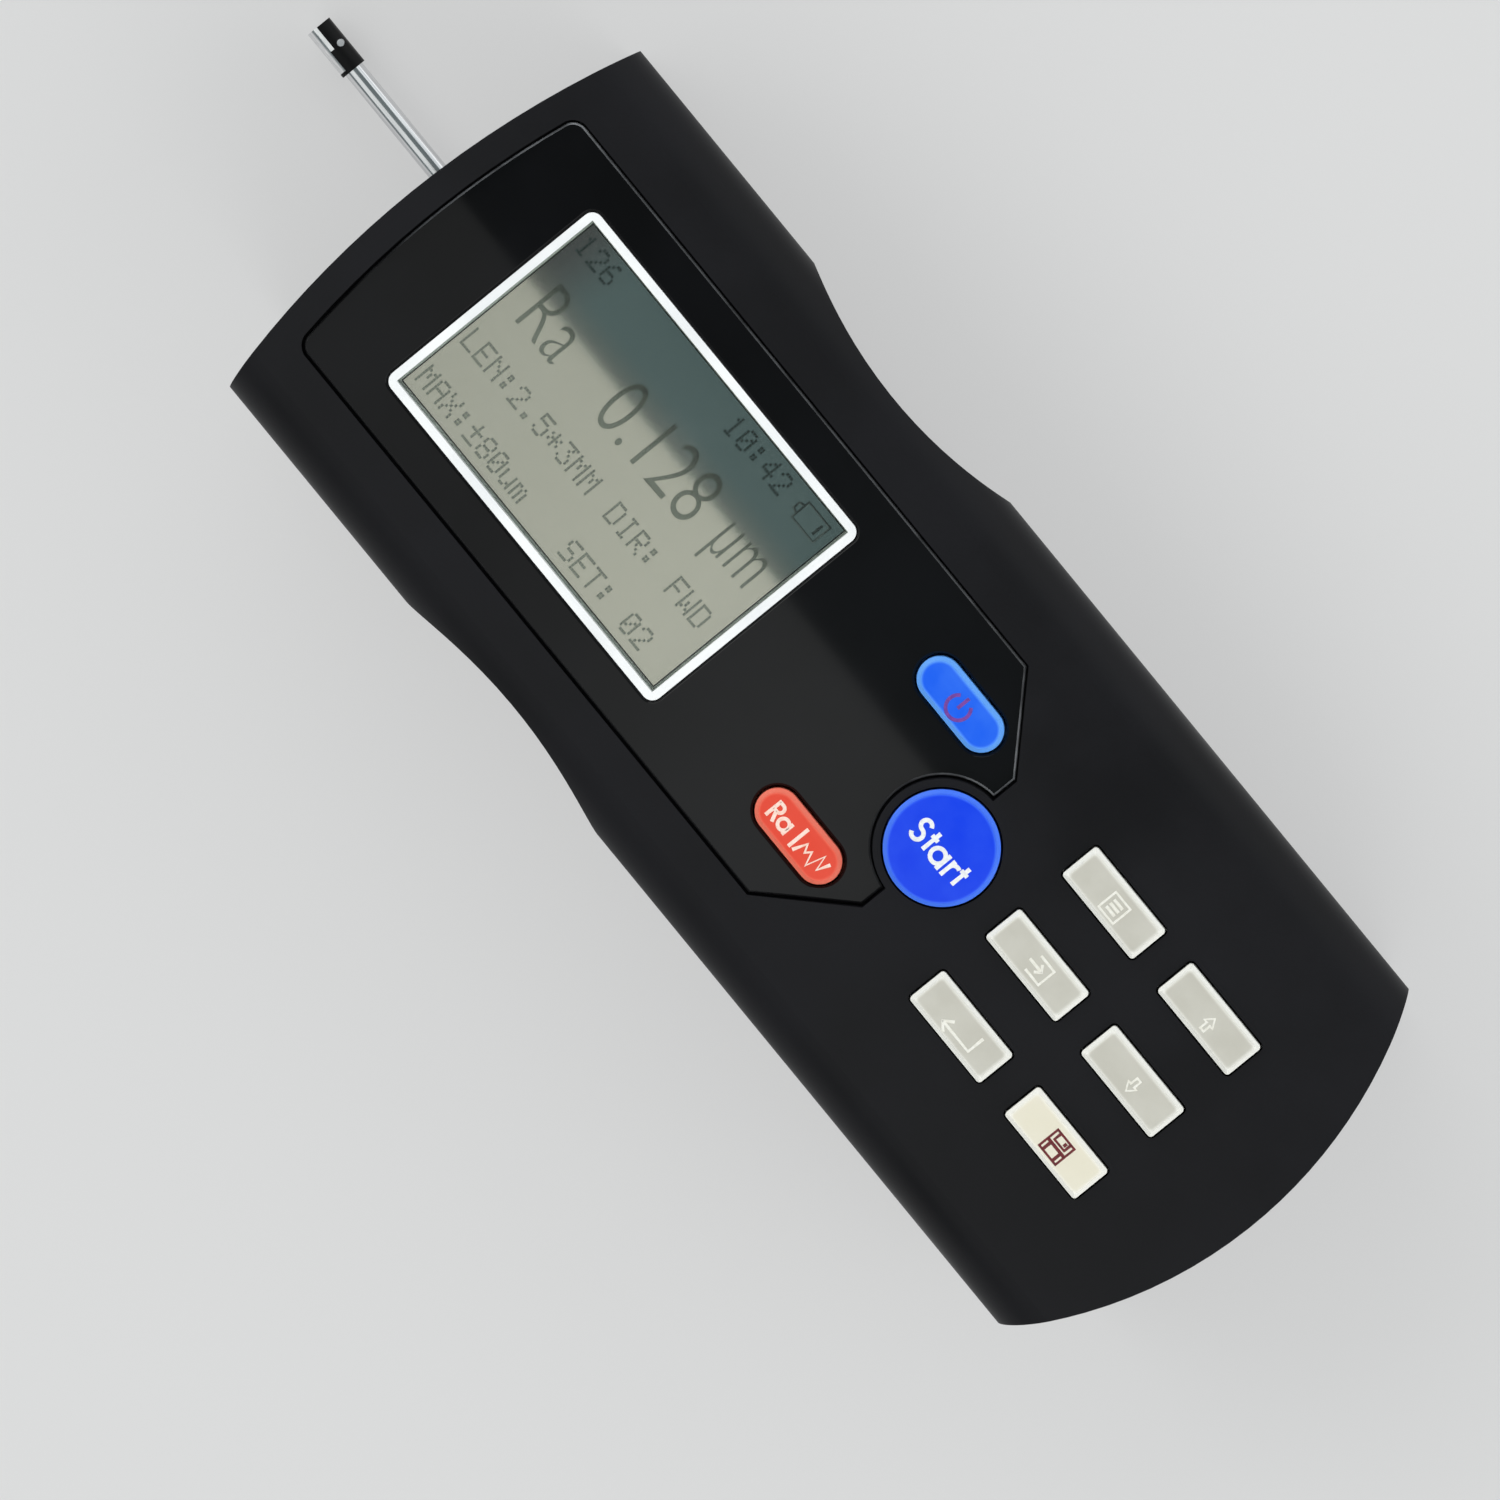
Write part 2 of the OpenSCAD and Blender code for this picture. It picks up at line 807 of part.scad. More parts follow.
module display_cell() {
    color("#8f9c90")
    translate([display_x, 0, cell_under + cell_thickness / 2])
        cube([opening_length - 2 * cell_gap, opening_width - 2 * cell_gap, cell_thickness], center = true);
}

// Back light box of the display, stepped down to the board
module display_carrier() {
    height = min(cell_under, deck_under - seat_gap) - board_top;
    color("#d8d8d2")
    translate([display_x, 0, board_top]) {
        linear_extrude(height)
            round_rect(
                frame_length + 2 * carrier_margin, frame_width + 2 * carrier_margin, carrier_corner
            );
        linear_extrude(cell_under - board_top)
            square([opening_length - 2 * cell_gap, opening_width - 2 * cell_gap], center = true);
    }
}

module main_board() {
    color("#1f5c3a")
    translate([0, 0, board_under])
        linear_extrude(board_thickness)
            difference() {
                union() {
                    translate([(board_front + board_rear) / 2, 0])
                        round_rect(board_rear - board_front, 2 * board_half, board_corner);
                    translate([board_rear - margin, -tongue_width / 2])
                        square([socket_mouth - wall - board_rear + margin, tongue_width]);
                }
                for (p = board_screw_places)
                    translate(p)
                        circle(small_screw / 2 + fit_gap);
            }
}

// Processor, memory and amplifier on the underside of the board
module board_chips() {
    color("#1a1a1c")
    for (chip = chips)
        translate([chip[0], chip[1], board_under - chip_height / 2])
            cube([chip[2], chip[3], chip_height], center = true);
}

module key_switches() {
    hole_depth = stem_entry + key_travel + fit_gap;
    color("#3a3b3d")
    for (p = all_places)
        translate([p.x, p.y, board_top])
            difference() {
                translate([-switch_side / 2, -switch_side / 2, 0])
                    cube([switch_side, switch_side, switch_height]);
                translate([0, 0, switch_height - hole_depth])
                    cylinder(h = hole_depth + margin, d = stem_diameter + 2 * cell_gap);
            }
}

// Cheese-head screw along +Z with its head below the origin and a slot in the head
module screw(shank, grip, head, height) {
    slot = head / 3;
    difference() {
        union() {
            translate([0, 0, -height])
                cylinder(h = height, r = head);
            cylinder(h = grip, r = shank);
        }
        translate([-head - margin, -slot / 2, -height - margin])
            cube([2 * (head + margin), slot, margin + height / 2]);
    }
}

module board_screws() {
    color("#b9bcc0")
    for (p = board_screw_places)
        translate([p.x, p.y, board_under])
            screw(small_screw / 2, board_thickness + small_grip, small_head, small_head_height);
}

module cover_screws() {
    color("#8d9095")
    for (p = cover_screw_places)
        translate([p.x, p.y, seam_height - grip_length])
            screw(cover_screw / 2, 2 * grip_length, cover_head, head_height);
}

module battery_pack() {
    color("#2d6fb5")
    translate([battery_front, 0, wall + battery_height / 2])
        rotate([90, 0, 90])
            linear_extrude(battery_length)
                round_rect(battery_width, battery_height, battery_corner);
}

module data_socket() {
    inner_width = socket_width - 2 * socket_wall;
    inner_height = socket_height - 2 * socket_wall;
    blade = 0.7;
    color("#c3c6c9")
    translate([socket_back, 0, socket_z])
        rotate([90, 0, 90]) {
            linear_extrude(socket_length)
                difference() {
                    round_rect(socket_width, socket_height, socket_corner);
                    round_rect(inner_width, inner_height, socket_corner - socket_wall);
                }
            linear_extrude(socket_floor)
                round_rect(socket_width, socket_height, socket_corner);
            linear_extrude(socket_length - socket_floor)
                square([inner_width - 2 * blade, blade], center = true);
        }
}

module stand_insert() {
    color("#b08d3f")
    translate([stand_place, 0, 0])
        difference() {
            cylinder(h = stand_depth, r = insert_radius);
            translate([0, 0, -margin])
                cylinder(h = stand_depth + 2 * margin, d = stand_thread);
        }
}

// Base plate with two uprights for the rods and the screw, and a third that carries the motor
module drive_frame() {
    color("#a9adb2")
    difference() {
        union() {
            translate([upright_front, -plate_half, drive_seat])
                cube([motor_face - upright_front, 2 * plate_half, plate_thickness]);
            for (p = drive_screw_places)
                translate([p.x, p.y, drive_seat])
                    cylinder(h = plate_thickness, r = ear_radius);
            for (x = [upright_front, upright_rear])
                translate([x, -upright_half, drive_seat])
                    cube([upright_thickness, 2 * upright_half, upright_top - drive_seat]);
            translate([motor_plate, -gearbox_diameter / 2, drive_seat])
                cube([
                    motor_plate_thickness, gearbox_diameter, screw_z + gearbox_diameter / 2 - drive_seat
                ]);
        }
        for (x = [upright_front, upright_rear])
            translate([x - margin, 0, screw_z])
                rotate([0, 90, 0]) {
                    cylinder(h = upright_thickness + 2 * margin, r = bearing_diameter / 2 + shaft_fit);
                    for (s = [-1, 1])
                        translate([0, s * rod_pitch / 2, 0])
                            cylinder(h = upright_thickness + 2 * margin, r = rod_diameter / 2 + shaft_fit);
                }
        translate([motor_plate - margin, 0, screw_z])
            rotate([0, 90, 0]) {
                cylinder(h = motor_plate_thickness + 2 * margin, r = journal_diameter);
                for (s = [-1, 1])
                    translate([0, s * motor_screw_pitch / 2, 0])
                        cylinder(h = motor_plate_thickness + 2 * margin, r = small_screw / 2 + fit_gap);
            }
        translate([slot_front, -post_width / 2 - run_gap, drive_seat - margin])
            cube([slot_rear - slot_front, post_width + 2 * run_gap, plate_thickness + 2 * margin]);
        for (p = drive_screw_places)
            translate([p.x, p.y, drive_seat - margin])
                cylinder(h = plate_thickness + 2 * margin, r = drive_screw / 2 + fit_gap);
    }
}

module guide_rods() {
    color("#d0d3d6")
    for (s = [-1, 1])
        translate([upright_front, s * rod_pitch / 2, screw_z])
            rotate([0, 90, 0])
                cylinder(h = upright_rear + upright_thickness - upright_front, d = rod_diameter);
}

module gear_motor() {
    color("#9aa0a6")
    translate([motor_face, 0, screw_z])
        rotate([0, 90, 0])
            difference() {
                union() {
                    cylinder(h = gearbox_length, d = gearbox_diameter);
                    cylinder(h = motor_length, d = can_diameter);
                }
                translate([0, 0, -margin])
                    cylinder(h = shaft_depth + margin, r = journal_diameter / 2 + shaft_fit);
                for (s = [-1, 1])
                    translate([0, s * motor_screw_pitch / 2, -margin])
                        cylinder(h = motor_grip + margin + fit_gap, r = small_screw / 2 + shaft_fit);
            }
}

module motor_screws() {
    color("#b9bcc0")
    for (s = [-1, 1])
        translate([motor_plate, s * motor_screw_pitch / 2, screw_z])
            rotate([0, 90, 0])
                screw(small_screw / 2, motor_plate_thickness + motor_grip, small_head, small_head_height);
}

module screw_bearings() {
    color("#c9ccd0")
    for (x = [upright_front, upright_rear])
        translate([x, 0, screw_z])
            rotate([0, 90, 0])
                difference() {
                    cylinder(h = upright_thickness, d = bearing_diameter);
                    translate([0, 0, -margin])
                        cylinder(h = upright_thickness + 2 * margin, d = journal_diameter);
                }
}

// Switches that stop the carriage at both ends of its way
module limit_switches() {
    thickness = end_room - limit_gap;
    color("#2b2b2e")
    for (x = [upright_front + upright_thickness, upright_rear - thickness])
        translate([x, carriage_width / 2 - limit_side, screw_z + rod_diameter / 2 + limit_rise])
            cube([thickness, limit_side, limit_side]);
}

module drive_screws() {
    reach = plate_thickness + drive_grip - fit_gap;
    color("#b9bcc0")
    for (p = drive_screw_places)
        translate([p.x, p.y, plate_top])
            mirror([0, 0, 1])
                screw(drive_screw / 2, reach, drive_head, drive_head_height);
}

module motor_shaft() {
    shaft_front = coupling_front + coupling_length / 2 + fit_gap;
    shaft_rear = motor_face + shaft_depth - fit_gap;
    color("#c9ccd0")
    translate([shaft_front, 0, screw_z])
        rotate([0, 90, 0])
            cylinder(h = shaft_rear - shaft_front, r = journal_diameter / 2 - shaft_fit);
}

module shaft_coupling() {
    color("#7d828a")
    translate([coupling_front, 0, screw_z])
        rotate([0, 90, 0])
            difference() {
                cylinder(h = coupling_length, d = coupling_diameter);
                translate([0, 0, -margin])
                    cylinder(h = coupling_length + 2 * margin, d = journal_diameter);
            }
}

module lead_screw() {
    screw_front = upright_front + upright_thickness + seat_gap;
    screw_rear = upright_rear - seat_gap;
    journal_rear = coupling_front + coupling_length / 2 - fit_gap;
    color("#bfc3c7")
    translate([0, 0, screw_z])
        rotate([0, 90, 0]) {
            translate([0, 0, upright_front])
                cylinder(h = journal_rear - upright_front, r = journal_diameter / 2 - shaft_fit);
            translate([0, 0, screw_front])
                cylinder(h = screw_rear - screw_front, d = screw_diameter);
        }
}

// Block on the guide rods with the post that reaches down to the pickup
module carriage() {
    color("#5f646b")
    difference() {
        union() {
            translate([carriage_front, -carriage_width / 2, carriage_under])
                cube([carriage_length, carriage_width, carriage_height]);
            translate([carriage_mid - post_length / 2, -post_width / 2, holder_top])
                cube([post_length, post_width, carriage_under - holder_top + margin]);
        }
        translate([carriage_front - margin, 0, screw_z])
            rotate([0, 90, 0]) {
                cylinder(h = carriage_length + 2 * margin, r = nut_diameter / 2 + shaft_fit);
                for (s = [-1, 1])
                    translate([0, s * rod_pitch / 2, 0])
                        cylinder(h = carriage_length + 2 * margin, r = rod_diameter / 2 + shaft_fit);
            }
    }
}

module drive_nut() {
    bore_length = carriage_length + nut_flange + 2 * margin;
    color("#b5913c")
    translate([carriage_front, 0, screw_z])
        rotate([0, 90, 0])
            difference() {
                union() {
                    cylinder(h = carriage_length, d = nut_diameter);
                    translate([0, 0, -nut_flange])
                        cylinder(h = nut_flange, d = nut_diameter + 2 * nut_rim);
                }
                translate([0, 0, -nut_flange - margin])
                    cylinder(h = bore_length, r = screw_diameter / 2 + nut_gap);
            }
}

// Socket in the groove that the pickup plugs into
module pickup_holder() {
    bore_length = tube_rear - holder_front + margin + fit_gap;
    color("#3d4045")
    difference() {
        translate([holder_front, -holder_width / 2, holder_under])
            cube([holder_length, holder_width, holder_top - holder_under]);
        translate([holder_front - margin, 0, probe_height])
            rotate([0, 90, 0])
                cylinder(h = bore_length, r = tube_diameter / 2 + shaft_fit);
        translate([carriage_mid, 0, probe_height])
            rotate([90, 0, 0])
                cylinder(h = holder_width, r = small_screw / 2 + shaft_fit);
    }
}

module clamp_screw() {
    length = (holder_width - tube_diameter) / 2;
    slot = small_screw / 4;
    color("#b9bcc0")
    translate([carriage_mid, -tube_diameter / 2 - shaft_fit, probe_height])
        rotate([90, 0, 0])
            difference() {
                cylinder(h = length, r = small_screw / 2);
                translate([-small_screw, -slot / 2, length - slot])
                    cube([2 * small_screw, slot, small_screw]);
            }
}

module pickup_tube() {
    color("#d7d9db")
    translate([nose_rear - tube_entry, 0, probe_height])
        rotate([0, 90, 0])
            difference() {
                cylinder(h = tube_rear - nose_rear + tube_entry, d = tube_diameter);
                translate([0, 0, -margin])
                    cylinder(h = tube_rear - nose_rear + tube_entry + 2 * margin, d = tube_bore);
            }
}

// Round nose with a keel below it
module nose_form() {
    translate([nose_tip, 0, probe_height])
        rotate([0, 90, 0])
            cylinder(h = nose_length, r = nose_radius);
    translate([nose_tip, -keel_width / 2, keel_under])
        cube([nose_length, keel_width, probe_height - keel_under]);
}

// Everything on the +Y side of the stepped split and the collar at the rear, moved aside by a gap
module carrier_side(gap) {
    translate([nose_tip - margin, split_front + gap, 0])
        cube([nose_length / 2 + margin, nose_width, body_height]);
    translate([split_step, split_rear + gap, 0])
        cube([nose_length / 2 + margin, nose_width, body_height]);
    translate([nose_rear - nose_collar + gap, -nose_width, 0])
        cube([nose_collar + margin, 2 * nose_width, body_height]);
}

module nose_bore() {
    translate([nose_rear - tube_entry, 0, probe_height])
        rotate([0, 90, 0])
            cylinder(h = tube_entry + margin, r = tube_diameter / 2 + shaft_fit);
}

module nose_carrier() {
    color("#141416")
    difference() {
        intersection() {
            nose_form();
            carrier_side(split_gap / 2);
        }
        nose_bore();
        // Slot for the stylus arm, open at the front and below
        translate([nose_tip - margin, stylus_y - slot_width / 2, 0])
            cube([pivot_x + 2 * arm_height - nose_tip + margin, slot_width, arm_z + arm_height]);
        translate([pivot_x, stylus_y + pivot_length / 2, arm_z])
            rotate([90, 0, 0])
                cylinder(h = pivot_length, r = pivot_radius + shaft_fit);
        translate([nose_screw_x, nose_screw_y, probe_height])
            cylinder(h = nose_width, r = nose_screw_radius + shaft_fit);
    }
}

// Bright shoe on the other side of the split, with the rounded skid below it
module skid_shoe() {
    skid_y = -keel_width / 2;
    color("#dfe1e3")
    difference() {
        union() {
            difference() {
                nose_form();
                carrier_side(-split_gap / 2);
            }
            translate([nose_tip + nose_length / 2, skid_y, skid_under + skid_radius])
                rotate([-90, 0, 0])
                    cylinder(h = split_rear - split_gap / 2 - skid_y, r = skid_radius);
        }
        nose_bore();
    }
}

module nose_screw() {
    color("#e6e7e8")
    translate([nose_screw_x, nose_screw_y, probe_height + nose_screw_depth / 4])
        cylinder(h = sqrt(pow(nose_radius, 2) - pow(nose_screw_y, 2)), r = nose_screw_radius);
}

// Lever of the stylus with its cross pin
module stylus_arm() {
    color("#8a8f95")
    union() {
        translate([arm_front, stylus_y - arm_width / 2, arm_z - arm_height / 2])
            cube([pivot_x + arm_height / 2 - arm_front, arm_width, arm_height]);
        translate([pivot_x, stylus_y + pivot_length / 2 - fit_gap, arm_z])
            rotate([90, 0, 0])
                cylinder(h = pivot_length - 2 * fit_gap, r = pivot_radius);
    }
}

module stylus_tip() {
    color("#3b3226")
    translate([stylus_x, stylus_y, stylus_under])
        cylinder(h = arm_z - arm_height / 2 - stylus_under, r1 = stylus_point, r2 = stylus_radius);
}

// Flange and stem below a key's cap
module key_foot() {
    translate([0, 0, flange_top - flange_thickness])
        linear_extrude(flange_thickness)
            children();
    translate([0, 0, switch_top - stem_entry])
        cylinder(h = flange_top - switch_top + stem_entry, d = stem_diameter);
}

// Cap with bevelled upper edges: the first child is its outline, the second the smaller face
module bevelled_cap(top) {
    hull() {
        translate([0, 0, flange_top - film])
            linear_extrude(film)
                children(0);
        translate([0, 0, top - key_bevel])
            linear_extrude(film)
                children(0);
        translate([0, 0, top - film])
            linear_extrude(film)
                children(1);
    }
}

// Cap whose four upper edges are bevelled by the profiles along its two sides
module keypad_cap(top) {
    intersection() {
        translate([0, 0, flange_top - film])
            linear_extrude(top - flange_top + film)
                keypad_outline(0);
        rotate([90, 0, 0])
            linear_extrude(2 * key_width, center = true)
                bevel_profile(key_length, top);
        rotate([90, 0, 90])
            linear_extrude(2 * key_length, center = true)
                bevel_profile(key_width, top);
    }
}

module bevel_profile(width, top) {
    polygon([
        [-width / 2 - margin, 0], [width / 2 + margin, 0],
        [width / 2 + margin, top - key_bevel - margin], [width / 2 - key_bevel, top],
        [key_bevel - width / 2, top], [-width / 2 - margin, top - key_bevel - margin]
    ]);
}

module keypad_key(place) {
    translate([place.x, place.y, 0]) {
        keypad_cap(crown_height(place.y) + key_proud);
        key_foot()
            keypad_outline(flange_reach);
    }
}

module oval_key(place) {
    translate([place.x, place.y, 0]) {
        bevelled_cap(panel_face + key_proud, $fn = hull_facets) {
            oval_outline(0);
            oval_outline(-key_bevel);
        }
        key_foot()
            oval_outline(flange_reach);
    }
}

module start_key() {
    top = body_height + start_proud;
    radius = start_diameter / 2;
    shoulder = top - start_proud / 2;
    color("#2450f0")
    translate([start_x, 0, 0]) {
        rotate_extrude()
            intersection() {
                polygon([
                    [0, flange_top - film], [radius, flange_top - film],
                    [radius, shoulder - key_bevel], [radius - key_bevel, shoulder],
                    [radius - key_bevel, top], [0, top]
                ]);
                translate([0, top - start_dome])
                    circle(start_dome, $fn = smooth);
            }
        key_foot()
            circle(radius + flange_reach);
    }
}

module power_key() {
    color("#2f7cf6")
    oval_key(power_place);
}

module display_key() {
    color("#ee5238")
    oval_key(display_key_place);
}

module menu_key() {
    color("#cfcdbf")
    keypad_key(menu_place);
}

module up_key() {
    color("#cfcdbf")
    keypad_key(up_place);
}

module output_key() {
    color("#cfcdbf")
    keypad_key(output_place);
}

module down_key() {
    color("#cfcdbf")
    keypad_key(down_place);
}

module enter_key() {
    color("#cfcdbf")
    keypad_key(enter_place);
}

module save_key() {
    color("#f0eee1")
    keypad_key(save_place);
}

top_cover();
bottom_cover();
panel_plate();
display_frame();
display_lens();
display_cell();
display_carrier();
main_board();
board_chips();
key_switches();
board_screws();
cover_screws();
battery_pack();
data_socket();
stand_insert();
drive_frame();
guide_rods();
gear_motor();
motor_screws();
screw_bearings();
limit_switches();
drive_screws();
motor_shaft();
shaft_coupling();
lead_screw();
carriage();
drive_nut();
pickup_holder();
clamp_screw();
pickup_tube();
nose_carrier();
skid_shoe();
nose_screw();
stylus_arm();
stylus_tip();
start_key();
power_key();
display_key();
menu_key();
up_key();
output_key();
down_key();
enter_key();
save_key();
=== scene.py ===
import json
import math

import bmesh
import bpy
from mathutils import Matrix, Vector


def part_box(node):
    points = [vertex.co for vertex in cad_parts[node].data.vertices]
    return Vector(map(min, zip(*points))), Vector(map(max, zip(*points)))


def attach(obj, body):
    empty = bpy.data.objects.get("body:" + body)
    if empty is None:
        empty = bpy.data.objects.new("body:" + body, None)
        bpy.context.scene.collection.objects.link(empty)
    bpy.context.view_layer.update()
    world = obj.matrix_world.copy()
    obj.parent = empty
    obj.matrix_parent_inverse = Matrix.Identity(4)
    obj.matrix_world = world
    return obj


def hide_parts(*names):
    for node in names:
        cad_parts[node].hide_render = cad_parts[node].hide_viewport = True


mm = 0.001
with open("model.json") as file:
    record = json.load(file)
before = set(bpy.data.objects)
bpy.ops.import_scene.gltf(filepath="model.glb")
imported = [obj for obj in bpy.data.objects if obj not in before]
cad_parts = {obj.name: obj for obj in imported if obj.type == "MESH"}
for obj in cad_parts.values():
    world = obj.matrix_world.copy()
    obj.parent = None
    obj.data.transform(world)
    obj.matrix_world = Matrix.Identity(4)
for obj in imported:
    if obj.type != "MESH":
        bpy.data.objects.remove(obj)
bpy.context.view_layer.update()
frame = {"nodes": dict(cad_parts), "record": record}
nodes = frame["nodes"]
print("stage 1: frame loaded with", len(nodes), "nodes")


class Wire:
    # a shader socket with arithmetic; every other node comes from node()
    def __init__(self, tree, socket):
        self.tree = tree
        self.socket = socket

    def feed(self, target, inputs):
        for key, value in inputs.items():
            if isinstance(value, Wire):
                self.tree.links.new(value.socket, target.inputs[key])
            else:
                target.inputs[key].default_value = value

    def node(self, kind, settings=None, inputs=None, out=0):
        made = self.tree.nodes.new(kind)
        for key, value in (settings or {}).items():
            setattr(made, key, value)
        self.feed(made, inputs or {})
        return Wire(self.tree, made.outputs[out])

    def math(self, operation, *terms):
        return self.node("ShaderNodeMath", {"operation": operation}, dict(enumerate(terms)))

    def __add__(self, other):
        return self.math("ADD", self, other)

    def __sub__(self, other):
        return self.math("SUBTRACT", self, other)

    def __rsub__(self, other):
        return self.math("SUBTRACT", other, self)

    def __mul__(self, other):
        return self.math("MULTIPLY", self, other)

    def __truediv__(self, other):
        return self.math("DIVIDE", self, other)

    def __abs__(self):
        return self.math("ABSOLUTE", self)

    __radd__ = __add__
    __rmul__ = __mul__

    def axis(self, index):
        return self.node("ShaderNodeSeparateXYZ", None, {0: self}, index)

    def step(self, low, high):
        settings = {"interpolation_type": "SMOOTHSTEP"}
        return self.node("ShaderNodeMapRange", settings, {0: self, 1: low, 2: high})

    def mix(self, factor, first, second):
        return self.node("ShaderNodeMix", {"data_type": "RGBA"}, {0: factor, 6: first, 7: second}, 2)

    def stretch(self, scale):
        return self.node("ShaderNodeMapping", None, {"Vector": self, "Scale": scale})

    def noise(self, scale, detail=3.0):
        return self.node("ShaderNodeTexNoise", None, {"Vector": self, "Scale": scale, "Detail": detail})

    def cells(self, scale, feature, randomness=1.0):
        inputs = {"Vector": self, "Scale": scale, "Randomness": randomness}
        return self.node("ShaderNodeTexVoronoi", {"feature": feature}, inputs)

    def bump(self, height, strength, depth):
        return self.node("ShaderNodeBump", None, {"Height": height, "Strength": strength, "Distance": depth})


def tone(red, green, blue):
    # display values from 0 to 255 as a linear colour
    shares = [value / 255 for value in (red, green, blue)]
    return (*[s / 12.92 if s <= 0.04045 else ((s + 0.055) / 1.055) ** 2.4 for s in shares], 1.0)


def newFinish(name):
    made = bpy.data.materials.new(name)
    made.use_nodes = True
    tree = made.node_tree
    coords = Wire(tree, tree.nodes.new("ShaderNodeTexCoord").outputs["Object"])
    return made, tree.nodes["Principled BSDF"], coords


# moulded plastics: clouded colour, handled sheen and a fine grain
moulding = {"cloudSpan": (0.32, 0.68), "handledScale": 0.37, "handledSpan": (0.4, 0.7)}
plastics = {
    "coverBlack": {"dark": tone(12, 12, 15), "light": tone(17, 17, 21), "cloud": 48, "rough": 0.47,
                   "smudge": 0.10, "grain": 3600, "relief": 0.30, "depth": 0.00003, "ior": 1.27,
                   # the light grey of the ledge under the lens is painted light in its shade
                   "ledge": {"tone": tone(172, 174, 166), "depth": 1.0, "soft": 0.05}},
    "panelGloss": {"dark": tone(9, 9, 10), "light": tone(13, 13, 15), "cloud": 70, "rough": 0.02,
                   "smudge": 0.006, "grain": 160, "relief": 0.01, "depth": 0.000002, "ior": 1.27,
                   "coat": {"weight": 0.24, "thinTo": -42.0, "fullFrom": 2.0}},
    "frameWhite": {"dark": tone(238, 240, 241), "light": tone(249, 250, 250), "cloud": 120, "rough": 0.34,
                   "smudge": 0.08, "grain": 2600, "relief": 0.08, "depth": 0.00002, "ior": 1.46},
    "carrierIvory": {"dark": tone(206, 204, 193), "light": tone(222, 220, 211), "cloud": 90, "rough": 0.5,
                     "smudge": 0.1, "grain": 1800, "relief": 0.2, "depth": 0.00003, "ior": 1.46},
    "chipBlack": {"dark": tone(26, 26, 27), "light": tone(36, 36, 37), "cloud": 300, "rough": 0.6,
                  "smudge": 0.12, "grain": 5200, "relief": 0.4, "depth": 0.00002, "ior": 1.5},
    "switchGrey": {"dark": tone(58, 58, 61), "light": tone(70, 70, 73), "cloud": 260, "rough": 0.45,
                   "smudge": 0.12, "grain": 3000, "relief": 0.2, "depth": 0.00002, "ior": 1.46},
    "limitBlack": {"dark": tone(34, 34, 36), "light": tone(44, 44, 46), "cloud": 260, "rough": 0.45,
                   "smudge": 0.12, "grain": 3000, "relief": 0.2, "depth": 0.00002, "ior": 1.46},
    "batterySleeve": {"dark": tone(38, 98, 172), "light": tone(52, 116, 190), "cloud": 60, "rough": 0.3,
                      "smudge": 0.15, "grain": 220, "relief": 0.25, "depth": 0.0002, "ior": 1.48},
    "holderBlack": {"dark": tone(52, 54, 57), "light": tone(64, 66, 69), "cloud": 150, "rough": 0.38,
                    "smudge": 0.12, "grain": 2200, "relief": 0.15, "depth": 0.00002, "ior": 1.46},
    "noseBlack": {"dark": tone(7, 7, 8), "light": tone(13, 13, 14), "cloud": 700, "rough": 0.4,
                  "smudge": 0.12, "grain": 6000, "relief": 0.2, "depth": 0.00001, "ior": 1.25},
}


def moulded(name, look):
    made, shader, coords = newFinish(name)
    cloud = coords.noise(look["cloud"], 4.0).step(*moulding["cloudSpan"])
    grain = coords.noise(look["grain"], 2.0)
    handled = coords.noise(look["cloud"] * moulding["handledScale"], 5.0).step(*moulding["handledSpan"])
    colour = coords.mix(cloud, look["dark"], look["light"])
    ledge = look.get("ledge")
    if ledge:
        # painted light: the ledge under the display lens, which lies in the shade of the frame, is painted a
        # light grey
        soft = ledge["soft"] * mm
        low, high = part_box("display_lens")
        bottom = low.z - ledge["depth"] * mm
        inside = coords.axis(2).step(bottom, bottom + soft)
        for index in (0, 1):
            half = (high[index] - low[index]) / 2
            inside = inside * (1 - abs(coords.axis(index) - (low[index] + half)).step(half, half + soft))
        colour = coords.mix(inside, colour, ledge["tone"])
    coords.feed(shader, {
        "Base Color": colour,
        "Roughness": look["rough"] + (cloud - handled) * look["smudge"],
        "Normal": coords.bump(grain, look["relief"], look["depth"]),
        "IOR": look["ior"],
    })
    coat = look.get("coat")
    if coat:
        # a gloss coat that is rubbed thin towards the pickup end
        full = coords.axis(0).step(coat["thinTo"] * mm, coat["fullFrom"] * mm)
        coords.feed(shader, {"Coat Weight": full * coat["weight"]})
    return made


